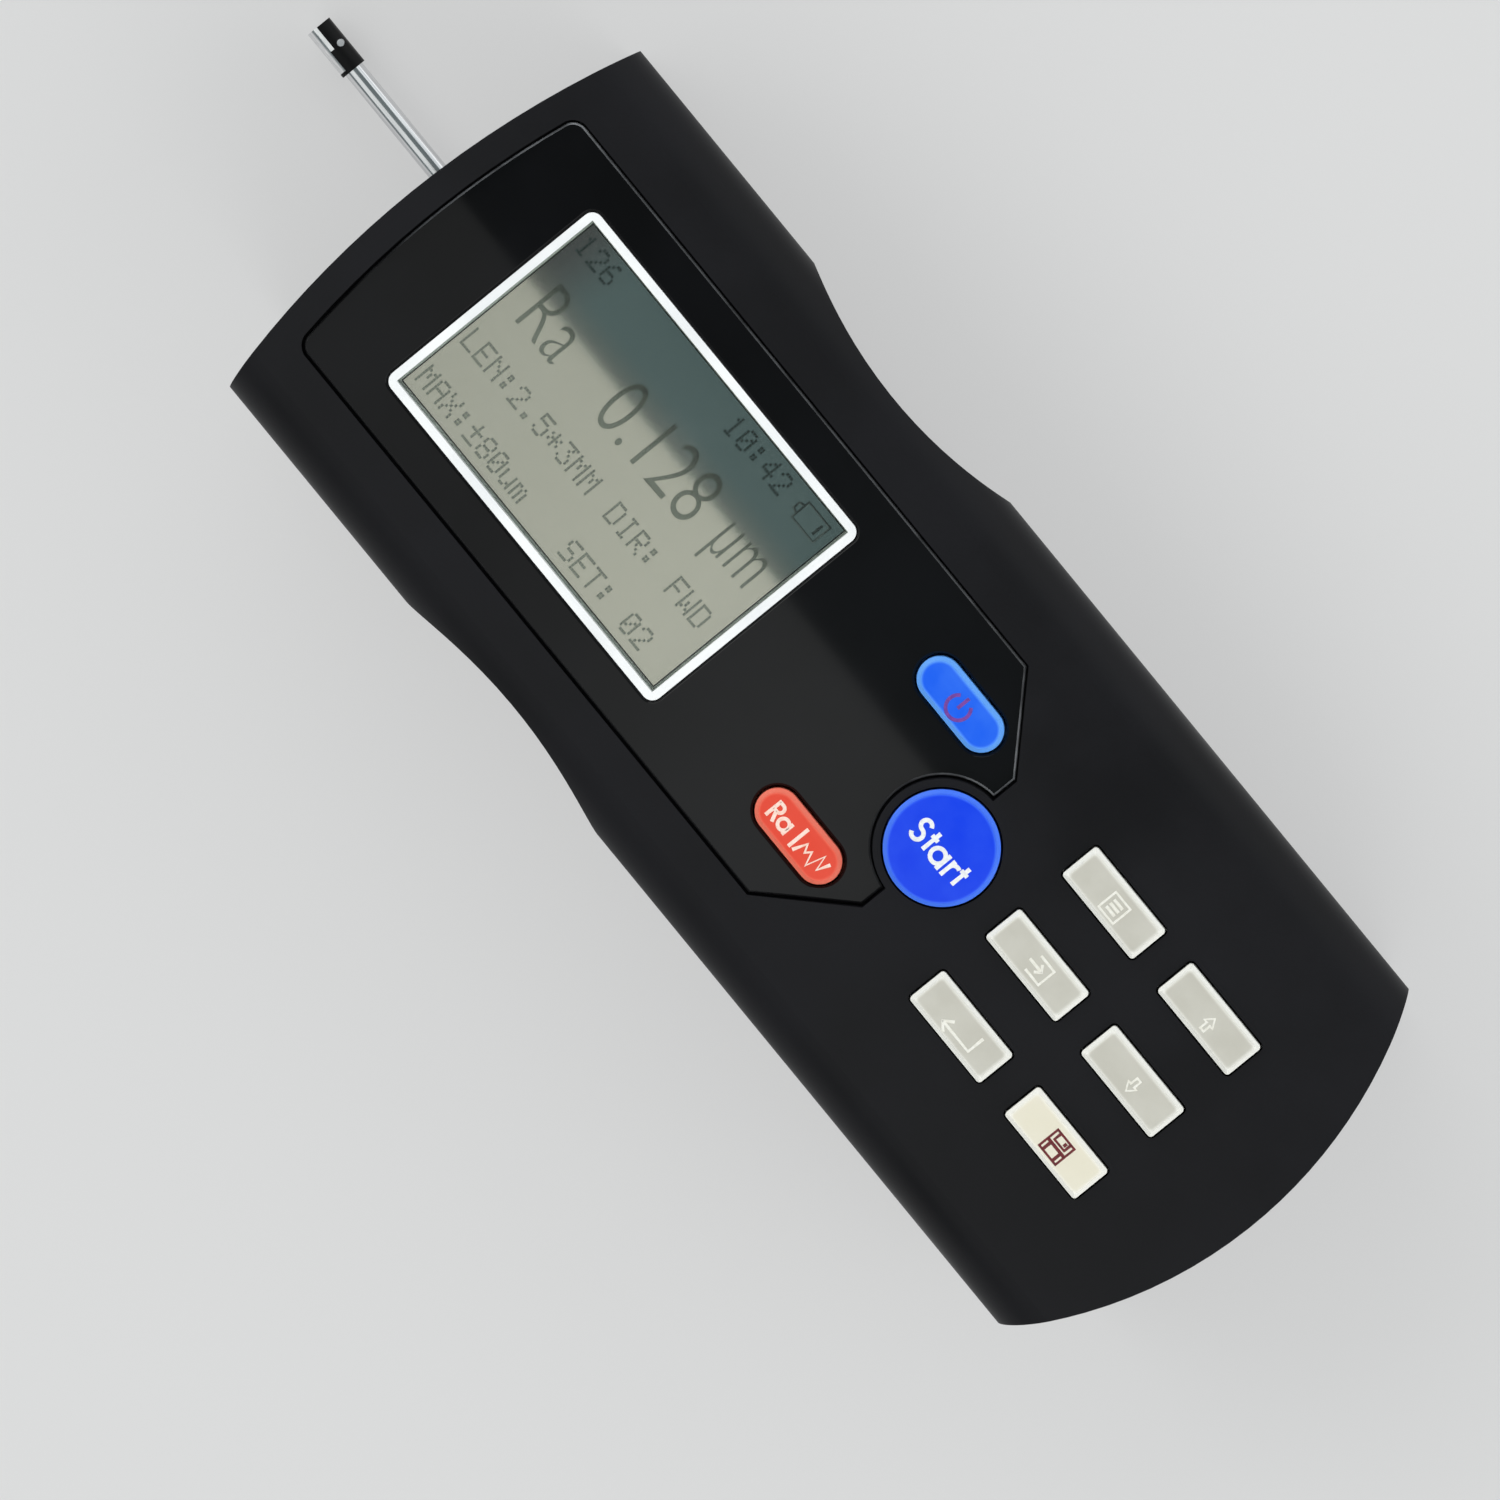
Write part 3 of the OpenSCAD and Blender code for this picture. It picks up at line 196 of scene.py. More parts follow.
# metals: drawn, ground or turned lines along the stretched axis; a thread winds round its own axis
working = {"stain": 240, "stainSpan": (0.35, 0.7), "lineSpan": (0.3, 0.7), "threadLines": 0.02}
metals = {
    "screwSteel": {"dark": tone(200, 202, 205), "light": tone(226, 227, 229), "lines": (900, 900, 4000),
                   "rough": 0.28, "spread": 0.16, "relief": 0.12, "depth": 0.00002},
    "socketSteel": {"dark": tone(186, 188, 191), "light": tone(214, 215, 218), "lines": (60, 2600, 2600),
                    "rough": 0.25, "spread": 0.14, "relief": 0.1, "depth": 0.00002},
    "frameAlloy": {"dark": tone(186, 189, 193), "light": tone(208, 211, 214), "lines": (2600, 2600, 2600),
                   "rough": 0.5, "spread": 0.16, "relief": 0.3, "depth": 0.00003},
    "rodSteel": {"dark": tone(198, 200, 203), "light": tone(224, 225, 228), "lines": (3600, 90, 90),
                 "rough": 0.12, "spread": 0.08, "relief": 0.06, "depth": 0.00001},
    "motorSteel": {"dark": tone(168, 171, 176), "light": tone(196, 199, 203), "lines": (3000, 60, 60),
                   "rough": 0.34, "spread": 0.16, "relief": 0.14, "depth": 0.00002},
    "bearingSteel": {"dark": tone(190, 192, 196), "light": tone(216, 217, 220), "lines": (4200, 80, 80),
                     "rough": 0.18, "spread": 0.1, "relief": 0.08, "depth": 0.00001},
    "couplingAlloy": {"dark": tone(142, 146, 152), "light": tone(164, 168, 174), "lines": (3000, 60, 60),
                      "rough": 0.36, "spread": 0.12, "relief": 0.12, "depth": 0.00002},
    "carriageAlloy": {"dark": tone(112, 115, 120), "light": tone(130, 133, 138), "lines": (2400, 300, 2400),
                      "rough": 0.42, "spread": 0.14, "relief": 0.16, "depth": 0.00002},
    "nutBrass": {"dark": tone(186, 150, 76), "light": tone(214, 180, 104), "lines": (4000, 60, 60),
                 "rough": 0.26, "spread": 0.14, "relief": 0.12, "depth": 0.00002},
    "leadSteel": {"dark": tone(178, 180, 184), "light": tone(206, 208, 211), "lines": (3600, 90, 90),
                  "rough": 0.24, "spread": 0.12, "relief": 0.8, "depth": 0.00045,
                  "thread": {"axis": 0, "pitch": 1.0 * mm, "centre": (0.0, 17.0 * mm)}},
    "insertBrass": {"dark": tone(182, 146, 72), "light": tone(212, 178, 102), "lines": (90, 90, 3600),
                    "rough": 0.28, "spread": 0.14, "relief": 0.8, "depth": 0.0004,
                    "thread": {"axis": 2, "pitch": 0.8 * mm, "centre": (10.0 * mm, 0.0)}},
    "tubeChrome": {"dark": tone(206, 207, 209), "light": tone(228, 229, 230), "lines": (120, 5200, 5200),
                   "rough": 0.14, "spread": 0.08, "relief": 0.05, "depth": 0.00001},
    "skidSteel": {"dark": tone(214, 215, 216), "light": tone(236, 237, 238), "lines": (900, 5200, 5200),
                  "rough": 0.16, "spread": 0.1, "relief": 0.06, "depth": 0.00001},
    "armSteel": {"dark": tone(150, 154, 160), "light": tone(182, 186, 191), "lines": (200, 6000, 6000),
                 "rough": 0.3, "spread": 0.14, "relief": 0.1, "depth": 0.00001},
}


def worked(name, look):
    made, shader, coords = newFinish(name)
    lines = coords.stretch(look["lines"]).noise(1.0, 2.0)
    stain = coords.noise(working["stain"], 4.0).step(*working["stainSpan"])
    height = lines
    thread = look.get("thread")
    if thread:
        first, second = [index for index in range(3) if index != thread["axis"]]
        rise = coords.axis(second) - thread["centre"][1]
        turn = rise.math("ARCTAN2", rise, coords.axis(first) - thread["centre"][0])
        wound = turn / (2 * math.pi) + coords.axis(thread["axis"]) / thread["pitch"]
        height = abs(wound.math("FRACT", wound) - 0.5) * 2 + lines * working["threadLines"]
    coords.feed(shader, {
        "Base Color": coords.mix(lines.step(*working["lineSpan"]), look["dark"], look["light"]),
        "Metallic": 1.0,
        "Roughness": look["rough"] + (lines + stain - 1.0) * look["spread"],
        "Normal": coords.bump(height, look["relief"], look["depth"]),
    })
    return made


# key caps: a moulded cap whose bevelled rim is painted paler than its face, a painted highlight along the
# rim; sizes in mm
capMoulding = {"cloud": 260, "cloudSpan": (0.3, 0.7), "mottle": 0.12, "roughSpread": 0.2, "depth": 0.00002,
               "ior": 1.34}
caps = {
    "startBlue": {"face": tone(4, 60, 230), "rim": tone(70, 124, 252), "size": (12.5, 12.5), "corner": 6.25,
                  "band": 0.3, "blend": 0.45, "rough": 0.38, "grain": 2400, "relief": 0.06},
    "powerBlue": {"face": tone(12, 94, 238), "rim": tone(100, 168, 252), "size": (11.8, 4.9), "corner": 2.45,
                  "band": 0.3, "blend": 0.5, "rough": 0.4, "grain": 2400, "relief": 0.06},
    "displayRed": {"face": tone(226, 70, 50), "rim": tone(244, 120, 98), "size": (11.8, 4.9), "corner": 2.45,
                   "band": 0.25, "blend": 0.5, "rough": 0.4, "grain": 2400, "relief": 0.06},
    "keyIvory": {"face": tone(194, 191, 180), "rim": tone(243, 242, 235), "size": (11.7, 4.75), "corner": 1.0,
                 "band": 0.2, "blend": 0.62, "rough": 0.42, "grain": 2000, "relief": 0.1},
    "keyCream": {"face": tone(229, 223, 203), "rim": tone(246, 244, 236), "size": (11.7, 4.75), "corner": 1.0,
                 "band": 0.2, "blend": 0.62, "rough": 0.42, "grain": 2000, "relief": 0.1},
}


def keyCap(name, look, node):
    made, shader, coords = newFinish(name)
    low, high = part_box(node)
    corner = look["corner"] * mm
    beyond = []
    for index in (0, 1):
        middle = (high[index] + low[index]) / 2
        offset = abs(coords.axis(index) - middle) - (look["size"][index] * mm / 2 - corner)
        beyond.append(offset.math("MAXIMUM", offset, 0.0))
    reach = beyond[0] * beyond[0] + beyond[1] * beyond[1]
    inner = corner - look["band"] * mm
    # painted highlight: a band along the cap's outline takes the paler rim tone
    rim = reach.math("SQRT", reach).step(inner - look["blend"] * mm, inner)
    cloud = coords.noise(capMoulding["cloud"], 4.0)
    mottle = cloud.step(*capMoulding["cloudSpan"]) * capMoulding["mottle"]
    face = coords.mix(mottle, look["face"], look["rim"])
    coords.feed(shader, {
        "Base Color": coords.mix(rim, face, look["rim"]),
        "Roughness": look["rough"] + (cloud - 0.5) * capMoulding["roughSpread"],
        "Normal": coords.bump(coords.noise(look["grain"], 2.0), look["relief"], capMoulding["depth"]),
        "IOR": capMoulding["ior"],
    })
    return made


# display window: clear plate over a reflecting grey-green cell; the cell's colour carries painted shade,
# dimmer towards the pickup end and dark teal across the far band
window = {"tint": (0.93, 0.96, 0.95, 1.0), "gloss": 0.035, "mirror": 0.019, "falloff": 5.0,
          "smear": 0.03, "smearScale": 90, "smearSpan": (0.45, 0.75), "smearShare": 0.3}
cell = {"grey": (0.575, 0.505, 0.435, 1.0), "dimGrey": (0.5, 0.44, 0.378, 1.0),
        "teal": (0.375, 0.445, 0.44, 1.0), "dusk": (0.315, 0.28, 0.27, 1.0), "duskTo": 8.0,
        "tealFrom": 3.0, "tealTo": 8.0, "speck": tone(92, 95, 91), "speckShare": 0.06, "dot": 3000,
        "dotSpan": (0.2, 0.8), "rough": 0.018, "wave": 60, "waveRough": 0.006, "metal": 0.88}
# painted shade: the ink turns to a darker tone across the band where the cell is painted dark
ink = {"colour": (0.165, 0.165, 0.135), "deep": (0.098, 0.114, 0.108), "deepFrom": 5.0, "deepTo": 8.5,
       "fade": 1.25, "blur": 1400, "blurSpan": (0.25, 0.75), "rough": 0.03, "blurRough": 0.02, "metal": 0.85}


def clearPlate(name, look):
    made, shader, coords = newFinish(name)
    smear = coords.noise(look["smearScale"], 5.0).step(*look["smearSpan"]) * look["smear"]
    coords.feed(shader, {
        "Metallic": 1.0,
        "Base Color": (1.0, 1.0, 1.0, 1.0),
        "Roughness": look["gloss"] + smear,
    })
    seeThrough = coords.node("ShaderNodeBsdfTransparent", None, {"Color": look["tint"]})
    mirror = Wire(made.node_tree, shader.outputs[0])
    facing = coords.node("ShaderNodeLayerWeight", None, {"Blend": 0.5}, "Facing")
    slant = facing.math("POWER", facing, look["falloff"])
    share = look["mirror"] + slant * (1 - look["mirror"]) + smear * look["smearShare"]
    both = coords.node("ShaderNodeMixShader", None, {0: share, 1: seeThrough, 2: mirror})
    coords.feed(made.node_tree.nodes["Material Output"], {"Surface": both})
    return made


def crystalCell(name, look):
    made, shader, coords = newFinish(name)
    low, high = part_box("display_lens")
    # painted shade: the band towards the far side is painted the darker teal of a dim reflection
    cellShade = coords.axis(1).step(look["tealFrom"] * mm, look["tealTo"] * mm)
    grain = coords.noise(look["dot"], 2.0).step(*look["dotSpan"])
    along = coords.axis(0)
    # painted shade: the cell is painted dimmer towards the pickup end
    pale = coords.mix(along.step(low.x, high.x), look["dimGrey"], look["grey"])
    deep = coords.mix(along.step(low.x, low.x + look["duskTo"] * mm), look["dusk"], look["teal"])
    glass = coords.mix(cellShade, pale, deep)
    coords.feed(shader, {
        "Base Color": coords.mix(grain * look["speckShare"], glass, look["speck"]),
        "Metallic": look["metal"],
        "Roughness": look["rough"] + coords.noise(look["wave"]) * look["waveRough"],
    })
    return made


def crystalInk(name, look):
    made, shader, coords = newFinish(name)
    blur = coords.noise(look["blur"]).step(*look["blurSpan"])
    # painted shade: darker ink across the far band of the display
    inkShade = coords.axis(1).step(look["deepFrom"] * mm, look["deepTo"] * mm)
    inked = []
    for share in (1.0, look["fade"]):
        low, deep = [(*[share * c for c in look[key]], 1.0) for key in ("colour", "deep")]
        inked.append(coords.mix(inkShade, low, deep))
    coords.feed(shader, {
        "Base Color": coords.mix(blur, *inked),
        "Metallic": look["metal"],
        "Roughness": look["rough"] + blur * look["blurRough"],
    })
    return made


# circuit board: green mask over copper tracks, tinned pads in a grid
board = {"mask": tone(24, 92, 52), "track": tone(44, 122, 72), "pad": tone(206, 200, 178),
         "trackScale": 260, "trackSpan": (0.03, 0.06), "padScale": 390, "padSize": 0.16, "padEdge": 0.05,
         "chosenScale": 110, "chosenSpan": (0.54, 0.58), "rough": 0.35, "roughScale": 300, "roughSpread": 0.1,
         "relief": 0.2, "depth": 0.00004}
gem = {"dark": tone(70, 58, 44), "light": tone(120, 100, 74), "facet": 9000,
       "rough": 0.12, "roughSpread": 0.1, "coat": 0.4}


def circuitBoard(name, look):
    made, shader, coords = newFinish(name)
    track = 1 - coords.cells(look["trackScale"], "DISTANCE_TO_EDGE").step(*look["trackSpan"])
    chosen = coords.noise(look["chosenScale"], 2.0).step(*look["chosenSpan"])
    spot = coords.cells(look["padScale"], "F1", 0.0).step(look["padSize"], look["padSize"] + look["padEdge"])
    pad = (1 - spot) * chosen
    green = coords.mix(track, look["mask"], look["track"])
    coords.feed(shader, {
        "Base Color": coords.mix(pad, green, look["pad"]),
        "Metallic": pad,
        "Roughness": look["rough"] + coords.noise(look["roughScale"]) * look["roughSpread"],
        "Normal": coords.bump(track + pad, look["relief"], look["depth"]),
    })
    return made


def groundGem(name, look):
    made, shader, coords = newFinish(name)
    facets = coords.cells(look["facet"], "F1")
    coords.feed(shader, {
        "Base Color": coords.mix(facets, look["dark"], look["light"]),
        "Roughness": look["rough"] + facets * look["roughSpread"],
        "Coat Weight": look["coat"],
    })
    return made


finishes = {name: moulded(name, look) for name, look in plastics.items()}
finishes.update({name: worked(name, look) for name, look in metals.items()})
finishes["lensClear"] = clearPlate("lensClear", window)
finishes["cellGrey"] = crystalCell("cellGrey", cell)
finishes["boardGreen"] = circuitBoard("boardGreen", board)
finishes["tipGem"] = groundGem("tipGem", gem)
crystal = crystalInk("crystalInk", ink)


def camel(slotName):
    first, *rest = slotName.split("_")
    return first + "".join(word.capitalize() for word in rest)


slotOf = {part["node"]: part["material_slot"] for part in frame["record"]["subparts"]}
for node, slotName in slotOf.items():
    finish = camel(slotName)
    painted = keyCap(node + "Cap", caps[finish], node) if finish in caps else finishes[finish]
    mesh = nodes[node].data
    mesh.materials.clear()
    mesh.materials.append(painted)
print("stage 2: every node has its finish")


def link(name, mesh, paint, body):
    piece = bpy.data.objects.new(name, mesh)
    bpy.context.scene.collection.objects.link(piece)
    mesh.materials.append(paint)
    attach(piece, body)
    return piece


# panel plate: the solid's own plate with its upper edges rounded, so that they catch the light; the outer
# rounded edge also gets a painted highlight
plateEdge = {"bevel": 0.26, "segments": 2, "sharp": 45.0, "merge": 0.001, "flat": 0.002, "level": 0.01,
             # the pale edge tone and where it reaches are a painted highlight
             "matt": tone(14, 14, 16), "worn": tone(160, 162, 166), "rough": 0.34, "sheen": 0.1,
             "rubbedFrom": -12.0, "rubbedTo": 14.0, "endSpan": (0.38, 0.49), "sideShare": 0.25,
             "patch": 420, "patchSpan": (0.25, 0.65), "patchLeast": 0.35,
             "openings": {"display_frame": 0.6, "power_key": 0.0, "display_key": 0.0}}


def wornHighlightEdge(name, look):
    # the cut edge of the plate: a painted highlight, pale at both ends and along the far side, broken by
    # rubbed patches
    made, shader, coords = newFinish(name)
    low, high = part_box("panel_plate")
    length = high.x - low.x
    ends = abs(coords.axis(0) - (low.x + high.x) / 2).step(*[length * place for place in look["endSpan"]])
    far = coords.axis(1).step(look["rubbedFrom"] * mm, look["rubbedTo"] * mm)
    patches = coords.noise(look["patch"], 4.0).step(*look["patchSpan"])
    # painted highlight: paler at both ends and towards the far side, mottled by rubbed patches
    wornHighlight = look["sideShare"] + ends * (1 - look["sideShare"])
    wornHighlight = wornHighlight * far * (look["patchLeast"] + patches * (1 - look["patchLeast"]))
    coords.feed(shader, {
        "Base Color": coords.mix(wornHighlight, look["matt"], look["worn"]),
        "Roughness": look["rough"] - wornHighlight * look["sheen"],
    })
    return made


plate = bmesh.new()
plate.from_mesh(nodes["panel_plate"].data)
bmesh.ops.remove_doubles(plate, verts=plate.verts, dist=plateEdge["merge"] * mm)
bmesh.ops.dissolve_limit(plate, angle_limit=plateEdge["flat"], verts=plate.verts, edges=plate.edges)
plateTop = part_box("panel_plate")[1].z
edges = [edge for edge in plate.edges
         if edge.calc_face_angle(0.0) > math.radians(plateEdge["sharp"])
         and all(abs(vert.co.z - plateTop) < plateEdge["level"] * mm for vert in edge.verts)]
cut = bmesh.ops.bevel(plate, geom=edges, offset=plateEdge["bevel"] * mm, segments=plateEdge["segments"],
                      profile=0.5, affect="EDGES", material=-1)
openings = [(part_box(node), room * mm) for node, room in plateEdge["openings"].items()]
for face in cut["faces"]:
    place = face.calc_center_median()
    inside = [low.x - room < place.x < high.x + room and low.y - room < place.y < high.y + room
              for (low, high), room in openings]
    face.material_index = 0 if any(inside) else 1
bmesh.ops.triangulate(plate, faces=plate.faces)
bmesh.ops.recalc_face_normals(plate, faces=plate.faces)
plateMesh = bpy.data.meshes.new("panelPlate")
plate.to_mesh(plateMesh)
plate.free()
plateOwn = link("panelPlate", plateMesh, finishes["panelGloss"], "housing")
plateMesh.materials.append(wornHighlightEdge("panelEdge", plateEdge))
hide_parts("panel_plate")


# printed marks: ink that lies a hair above the face it is printed on
printing = {"patch": 2200, "patchSpan": (0.35, 0.7), "roughSpread": 0.1}
inks = {
    "white": {"colour": tone(244, 245, 246), "shade": tone(228, 230, 233), "rough": 0.4},
    "pale": {"colour": tone(240, 238, 229), "shade": tone(230, 227, 215), "rough": 0.4},
    "peach": {"colour": tone(255, 226, 212), "shade": tone(250, 208, 190), "rough": 0.4},
    "wine": {"colour": tone(112, 26, 32), "shade": tone(92, 20, 26), "rough": 0.45},
    "plum": {"colour": tone(122, 58, 158), "shade": tone(102, 50, 146), "rough": 0.45},
}


def printed(name, look):
    made, shader, coords = newFinish(name)
    patch = coords.noise(printing["patch"]).step(*printing["patchSpan"])
    coords.feed(shader, {
        "Base Color": coords.mix(patch, look["colour"], look["shade"]),
        "Roughness": look["rough"] + patch * printing["roughSpread"],
    })
    return made


printInks = {name: printed("ink" + name.capitalize(), look) for name, look in inks.items()}


def curveMesh(data):
    holder = bpy.data.objects.new("outline", data)
    bpy.context.scene.collection.objects.link(holder)
    bpy.context.view_layer.update()
    mesh = bpy.data.meshes.new_from_object(holder.evaluated_get(bpy.context.evaluated_depsgraph_get()))
    bpy.data.objects.remove(holder)
    bpy.data.curves.remove(data)
    return mesh


def strokes(paths, width, height):
    # round pen strokes, pressed flat; a path is (closed, points in mm)
    data = bpy.data.curves.new("strokes", "CURVE")
    data.dimensions = "3D"
    data.bevel_depth = width * mm / 2
    data.bevel_resolution = 3
    data.use_fill_caps = True
    for closed, points in paths:
        spline = data.splines.new("POLY")
        spline.points.add(len(points) - 1)
        for point, (x, y) in zip(spline.points, points):
            point.co = (x * mm, y * mm, 0.0, 1.0)
        spline.use_cyclic_u = closed
    mesh = curveMesh(data)
    mesh.transform(Matrix.Diagonal((1.0, 1.0, 2 * height / width, 1.0)))
    return mesh


def lettering(words, width, height, thicker):
    # letters of the built-in face, fitted to a width and height in mm, centred on the origin
    data = bpy.data.curves.new("letters", "FONT")
    data.body = words
    data.offset = thicker
    data.fill_mode = "FRONT"
    mesh = curveMesh(data)
    corners = [v.co for v in mesh.vertices]
    low = Vector([min(c[i] for c in corners) for i in range(3)])
    high = Vector([max(c[i] for c in corners) for i in range(3)])
    mesh.transform(Matrix.Translation(-(low + high) / 2))
    size = high - low
    mesh.transform(Matrix.Diagonal((width * mm / size.x, height * mm / size.y, 1.0, 1.0)))
    return mesh


def arc(radius, start, end, steps):
    turns = [math.radians(start + (end - start) * i / steps) for i in range(steps + 1)]
    return [(radius * math.cos(t), radius * math.sin(t)) for t in turns]


def moved(points, x, y):
    return [(px + x, py + y) for px, py in points]


def arcLoop(radius, x, y):
    return moved(arc(radius, 0, 360, 24), x, y)


def keyTop(node):
    low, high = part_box(node)
    return Vector(((low.x + high.x) / 2, (low.y + high.y) / 2, high.z))


def keyMark(node, mesh, paint):
    mesh.transform(Matrix.Translation(keyTop(node)))
    link(node + "Mark", mesh, paint, node)


# round pen letters: how far each one advances and its strokes, in mm
penHeight = 3.0
penGap = 0.25
penLetters = {
    "S": (2.0, [moved(arc(0.60, 25, 270, 16), 0.87, 2.16) + moved(arc(0.66, 90, -155, 16), 0.87, 0.90)]),
    "t": (1.15, [[(0.5, 2.8), (0.5, 0.24)], [(0.02, 2.0), (0.98, 2.0)]]),
    "a": (2.35, [arcLoop(0.84, 0.95, 1.07), [(1.84, 2.14), (1.84, 0.0)]]),
    "r": (1.35, [[(0.27, 2.14), (0.27, 0.0)], moved(arc(0.66, 180, 62, 8), 0.93, 1.24)]),
    "R": (1.95, [[(0.25, 3.0), (0.25, 0.0)], [(0.25, 2.76)] + moved(arc(0.63, 90, -90, 10), 0.9, 2.13)
                 + [(0.25, 1.5)], [(0.8, 1.5), (1.55, 0.05)]]),
}


def penWord(text, scale, x, y):
    # strokes of a word in mm, its middle at x, y
    width = sum(penLetters[letter][0] for letter in text) - penGap
    paths, left = [], -width / 2
    for letter in text:
        advance, lines = penLetters[letter]
        for line in lines:
            centred = [(px * scale, py * scale) for px, py in moved(line, left, -penHeight / 2)]
            paths.append((False, moved(centred, x, y)))
        left += advance
    return paths


# start key: a word that follows the shallow dome of the cap
startWord = {"text": "Start", "scale": 1.0, "pen": 0.5, "x": 0.1, "y": -0.3, "dome": 42.0, "height": 0.045}
word = strokes(penWord(startWord["text"], startWord["scale"], startWord["x"], startWord["y"]),
               startWord["pen"], startWord["height"])
shaped = bmesh.new()
shaped.from_mesh(word)
for vert in shaped.verts:
    vert.co.z -= (vert.co.x ** 2 + vert.co.y ** 2) / (2 * startWord["dome"] * mm)
shaped.to_mesh(word)
shaped.free()
keyMark("start_key", word, printInks["white"])

# plain signs of the other keys, drawn from the middle of the cap
signs = {
    "power_key": {"ink": "plum", "width": 0.4, "paths": [
        (False, moved(arc(1.35, 130, 410, 28), 0.1, -0.35)), (False, [(0.1, 1.15), (0.1, -0.45)])]},
    "display_key": {"ink": "peach", "width": 0.42, "paths": penWord("Ra", 0.76, -2.65, -0.05) + [
        (False, [(0.1, 1.35), (0.1, -1.45)]),
        (False, [(0.65, -1.35), (1.25, 0.3), (1.75, -0.55), (2.2, 0.1), (2.85, -1.35), (3.45, 0.9),
                 (3.95, -0.75), (4.5, 0.75)])]},
    "menu_key": {"ink": "pale", "width": 0.36, "paths": [
        (True, [(-0.8, 0.95), (1.6, 0.95), (1.6, -1.45), (-0.8, -1.45)]),
        (False, [(-0.3, 0.3), (1.1, 0.3)]), (False, [(-0.3, -0.25), (1.1, -0.25)]),
        (False, [(-0.3, -0.8), (1.1, -0.8)])]},
    "up_key": {"ink": "pale", "width": 0.36, "paths": [
        (True, [(0.33, 0.55), (0.98, -0.35), (0.6, -0.35), (0.6, -1.25), (0.06, -1.25), (0.06, -0.35),
                (-0.32, -0.35)])]},
    "output_key": {"ink": "pale", "width": 0.36, "paths": [
        (False, [(-0.55, 1.0), (1.65, 1.0), (1.65, -1.2), (-0.55, -1.2)]),
        (False, [(-1.1, -0.1), (0.85, -0.1)]), (False, [(0.25, 0.5), (0.85, -0.1), (0.25, -0.7)])]},
    "down_key": {"ink": "pale", "width": 0.36, "paths": [
        (True, [(0.3, -1.15), (0.95, -0.25), (0.57, -0.25), (0.57, 0.65), (0.03, 0.65), (0.03, -0.25),
                (-0.35, -0.25)])]},
    "enter_key": {"ink": "pale", "width": 0.38, "paths": [
        (False, [(2.45, 1.05), (2.45, -1.05), (-1.8, -1.05)]),
        (False, [(-0.85, -0.15), (-1.8, -1.05), (-0.85, -1.75)])]},
    "save_key": {"ink": "wine", "width": 0.38, "paths": [
        (True, [(-1.0, 1.1), (1.7, 1.1), (1.7, -1.5), (-1.0, -1.5)]),
        (False, [(-0.45, 1.1), (-0.45, 0.15), (1.15, 0.15), (1.15, 1.1)]),
        (False, [(0.75, 0.85), (0.75, 0.4)]), (False, [(-1.0, -0.3), (1.7, -0.3)]),
        (False, [(-0.45, -0.3), (-0.45, -1.5)]), (False, [(1.15, -0.3), (1.15, -1.5)])]},
}
signHeight = 0.035
for node, sign in signs.items():
    keyMark(node, strokes(sign["paths"], sign["width"], signHeight), printInks[sign["ink"]])
print("stage 3: key signs printed")


# display: small lines of 5 by 7 dots ("+" is drawn as plus or minus), a large reading and a battery sign
dots = {
    "0": (14, 17, 19, 21, 25, 17, 14), "1": (4, 12, 4, 4, 4, 4, 14), "2": (14, 17, 1, 2, 4, 8, 31),
    "3": (31, 2, 4, 2, 1, 17, 14), "4": (2, 6, 10, 18, 31, 2, 2), "5": (31, 16, 30, 1, 1, 17, 14),
    "6": (6, 8, 16, 30, 17, 17, 14), "8": (14, 17, 17, 14, 17, 17, 14),
    "A": (14, 17, 17, 31, 17, 17, 17), "D": (30, 17, 17, 17, 17, 17, 30), "E": (31, 16, 16, 30, 16, 16, 31),
    "F": (31, 16, 16, 30, 16, 16, 16), "I": (14, 4, 4, 4, 4, 4, 14), "L": (16, 16, 16, 16, 16, 16, 31),
    "M": (17, 27, 21, 21, 17, 17, 17), "N": (17, 25, 21, 19, 17, 17, 17), "R": (30, 17, 17, 30, 20, 18, 17),
    "S": (15, 16, 16, 14, 1, 1, 30), "T": (31, 4, 4, 4, 4, 4, 4), "W": (17, 17, 17, 21, 21, 27, 17),
    "X": (17, 17, 10, 4, 10, 17, 17), "u": (0, 0, 17, 17, 17, 19, 13), "m": (0, 0, 26, 21, 21, 21, 21),
    ":": (0, 12, 12, 0, 12, 12, 0), ".": (0, 0, 0, 0, 0, 12, 12), "*": (0, 4, 21, 14, 21, 4, 0),
    "+": (4, 4, 31, 4, 4, 0, 31),
}
screen = {"columns": 5, "advance": 6, "pitchX": 0.324, "pitchY": 0.372, "fill": 0.86, "lift": 0.04,
          "lines": [("126", -55.1, 12.4), ("10:42", -30.4, 12.4), ("LEN:2.5*3MM", -55.0, -3.3),
                    ("DIR:", -31.2, -3.3), ("FWD", -21.0, -3.3), ("MAX:+80um", -55.0, -9.5),
                    ("SET:", -31.2, -9.5), ("02", -21.2, -9.5)],
          "large": [("Ra", -49.9, 3.25, 6.2, 6.4), ("0.128", -32.6, 3.25, 15.2, 6.4),
                    ("µm", -18.85, 1.9, 6.0, 5.6)],
          "thicker": -0.012}
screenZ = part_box("display_cell")[1].z + screen["lift"] * mm
dotShape = Matrix.Diagonal((screen["pitchX"], screen["pitchY"], 1.0, 1.0))

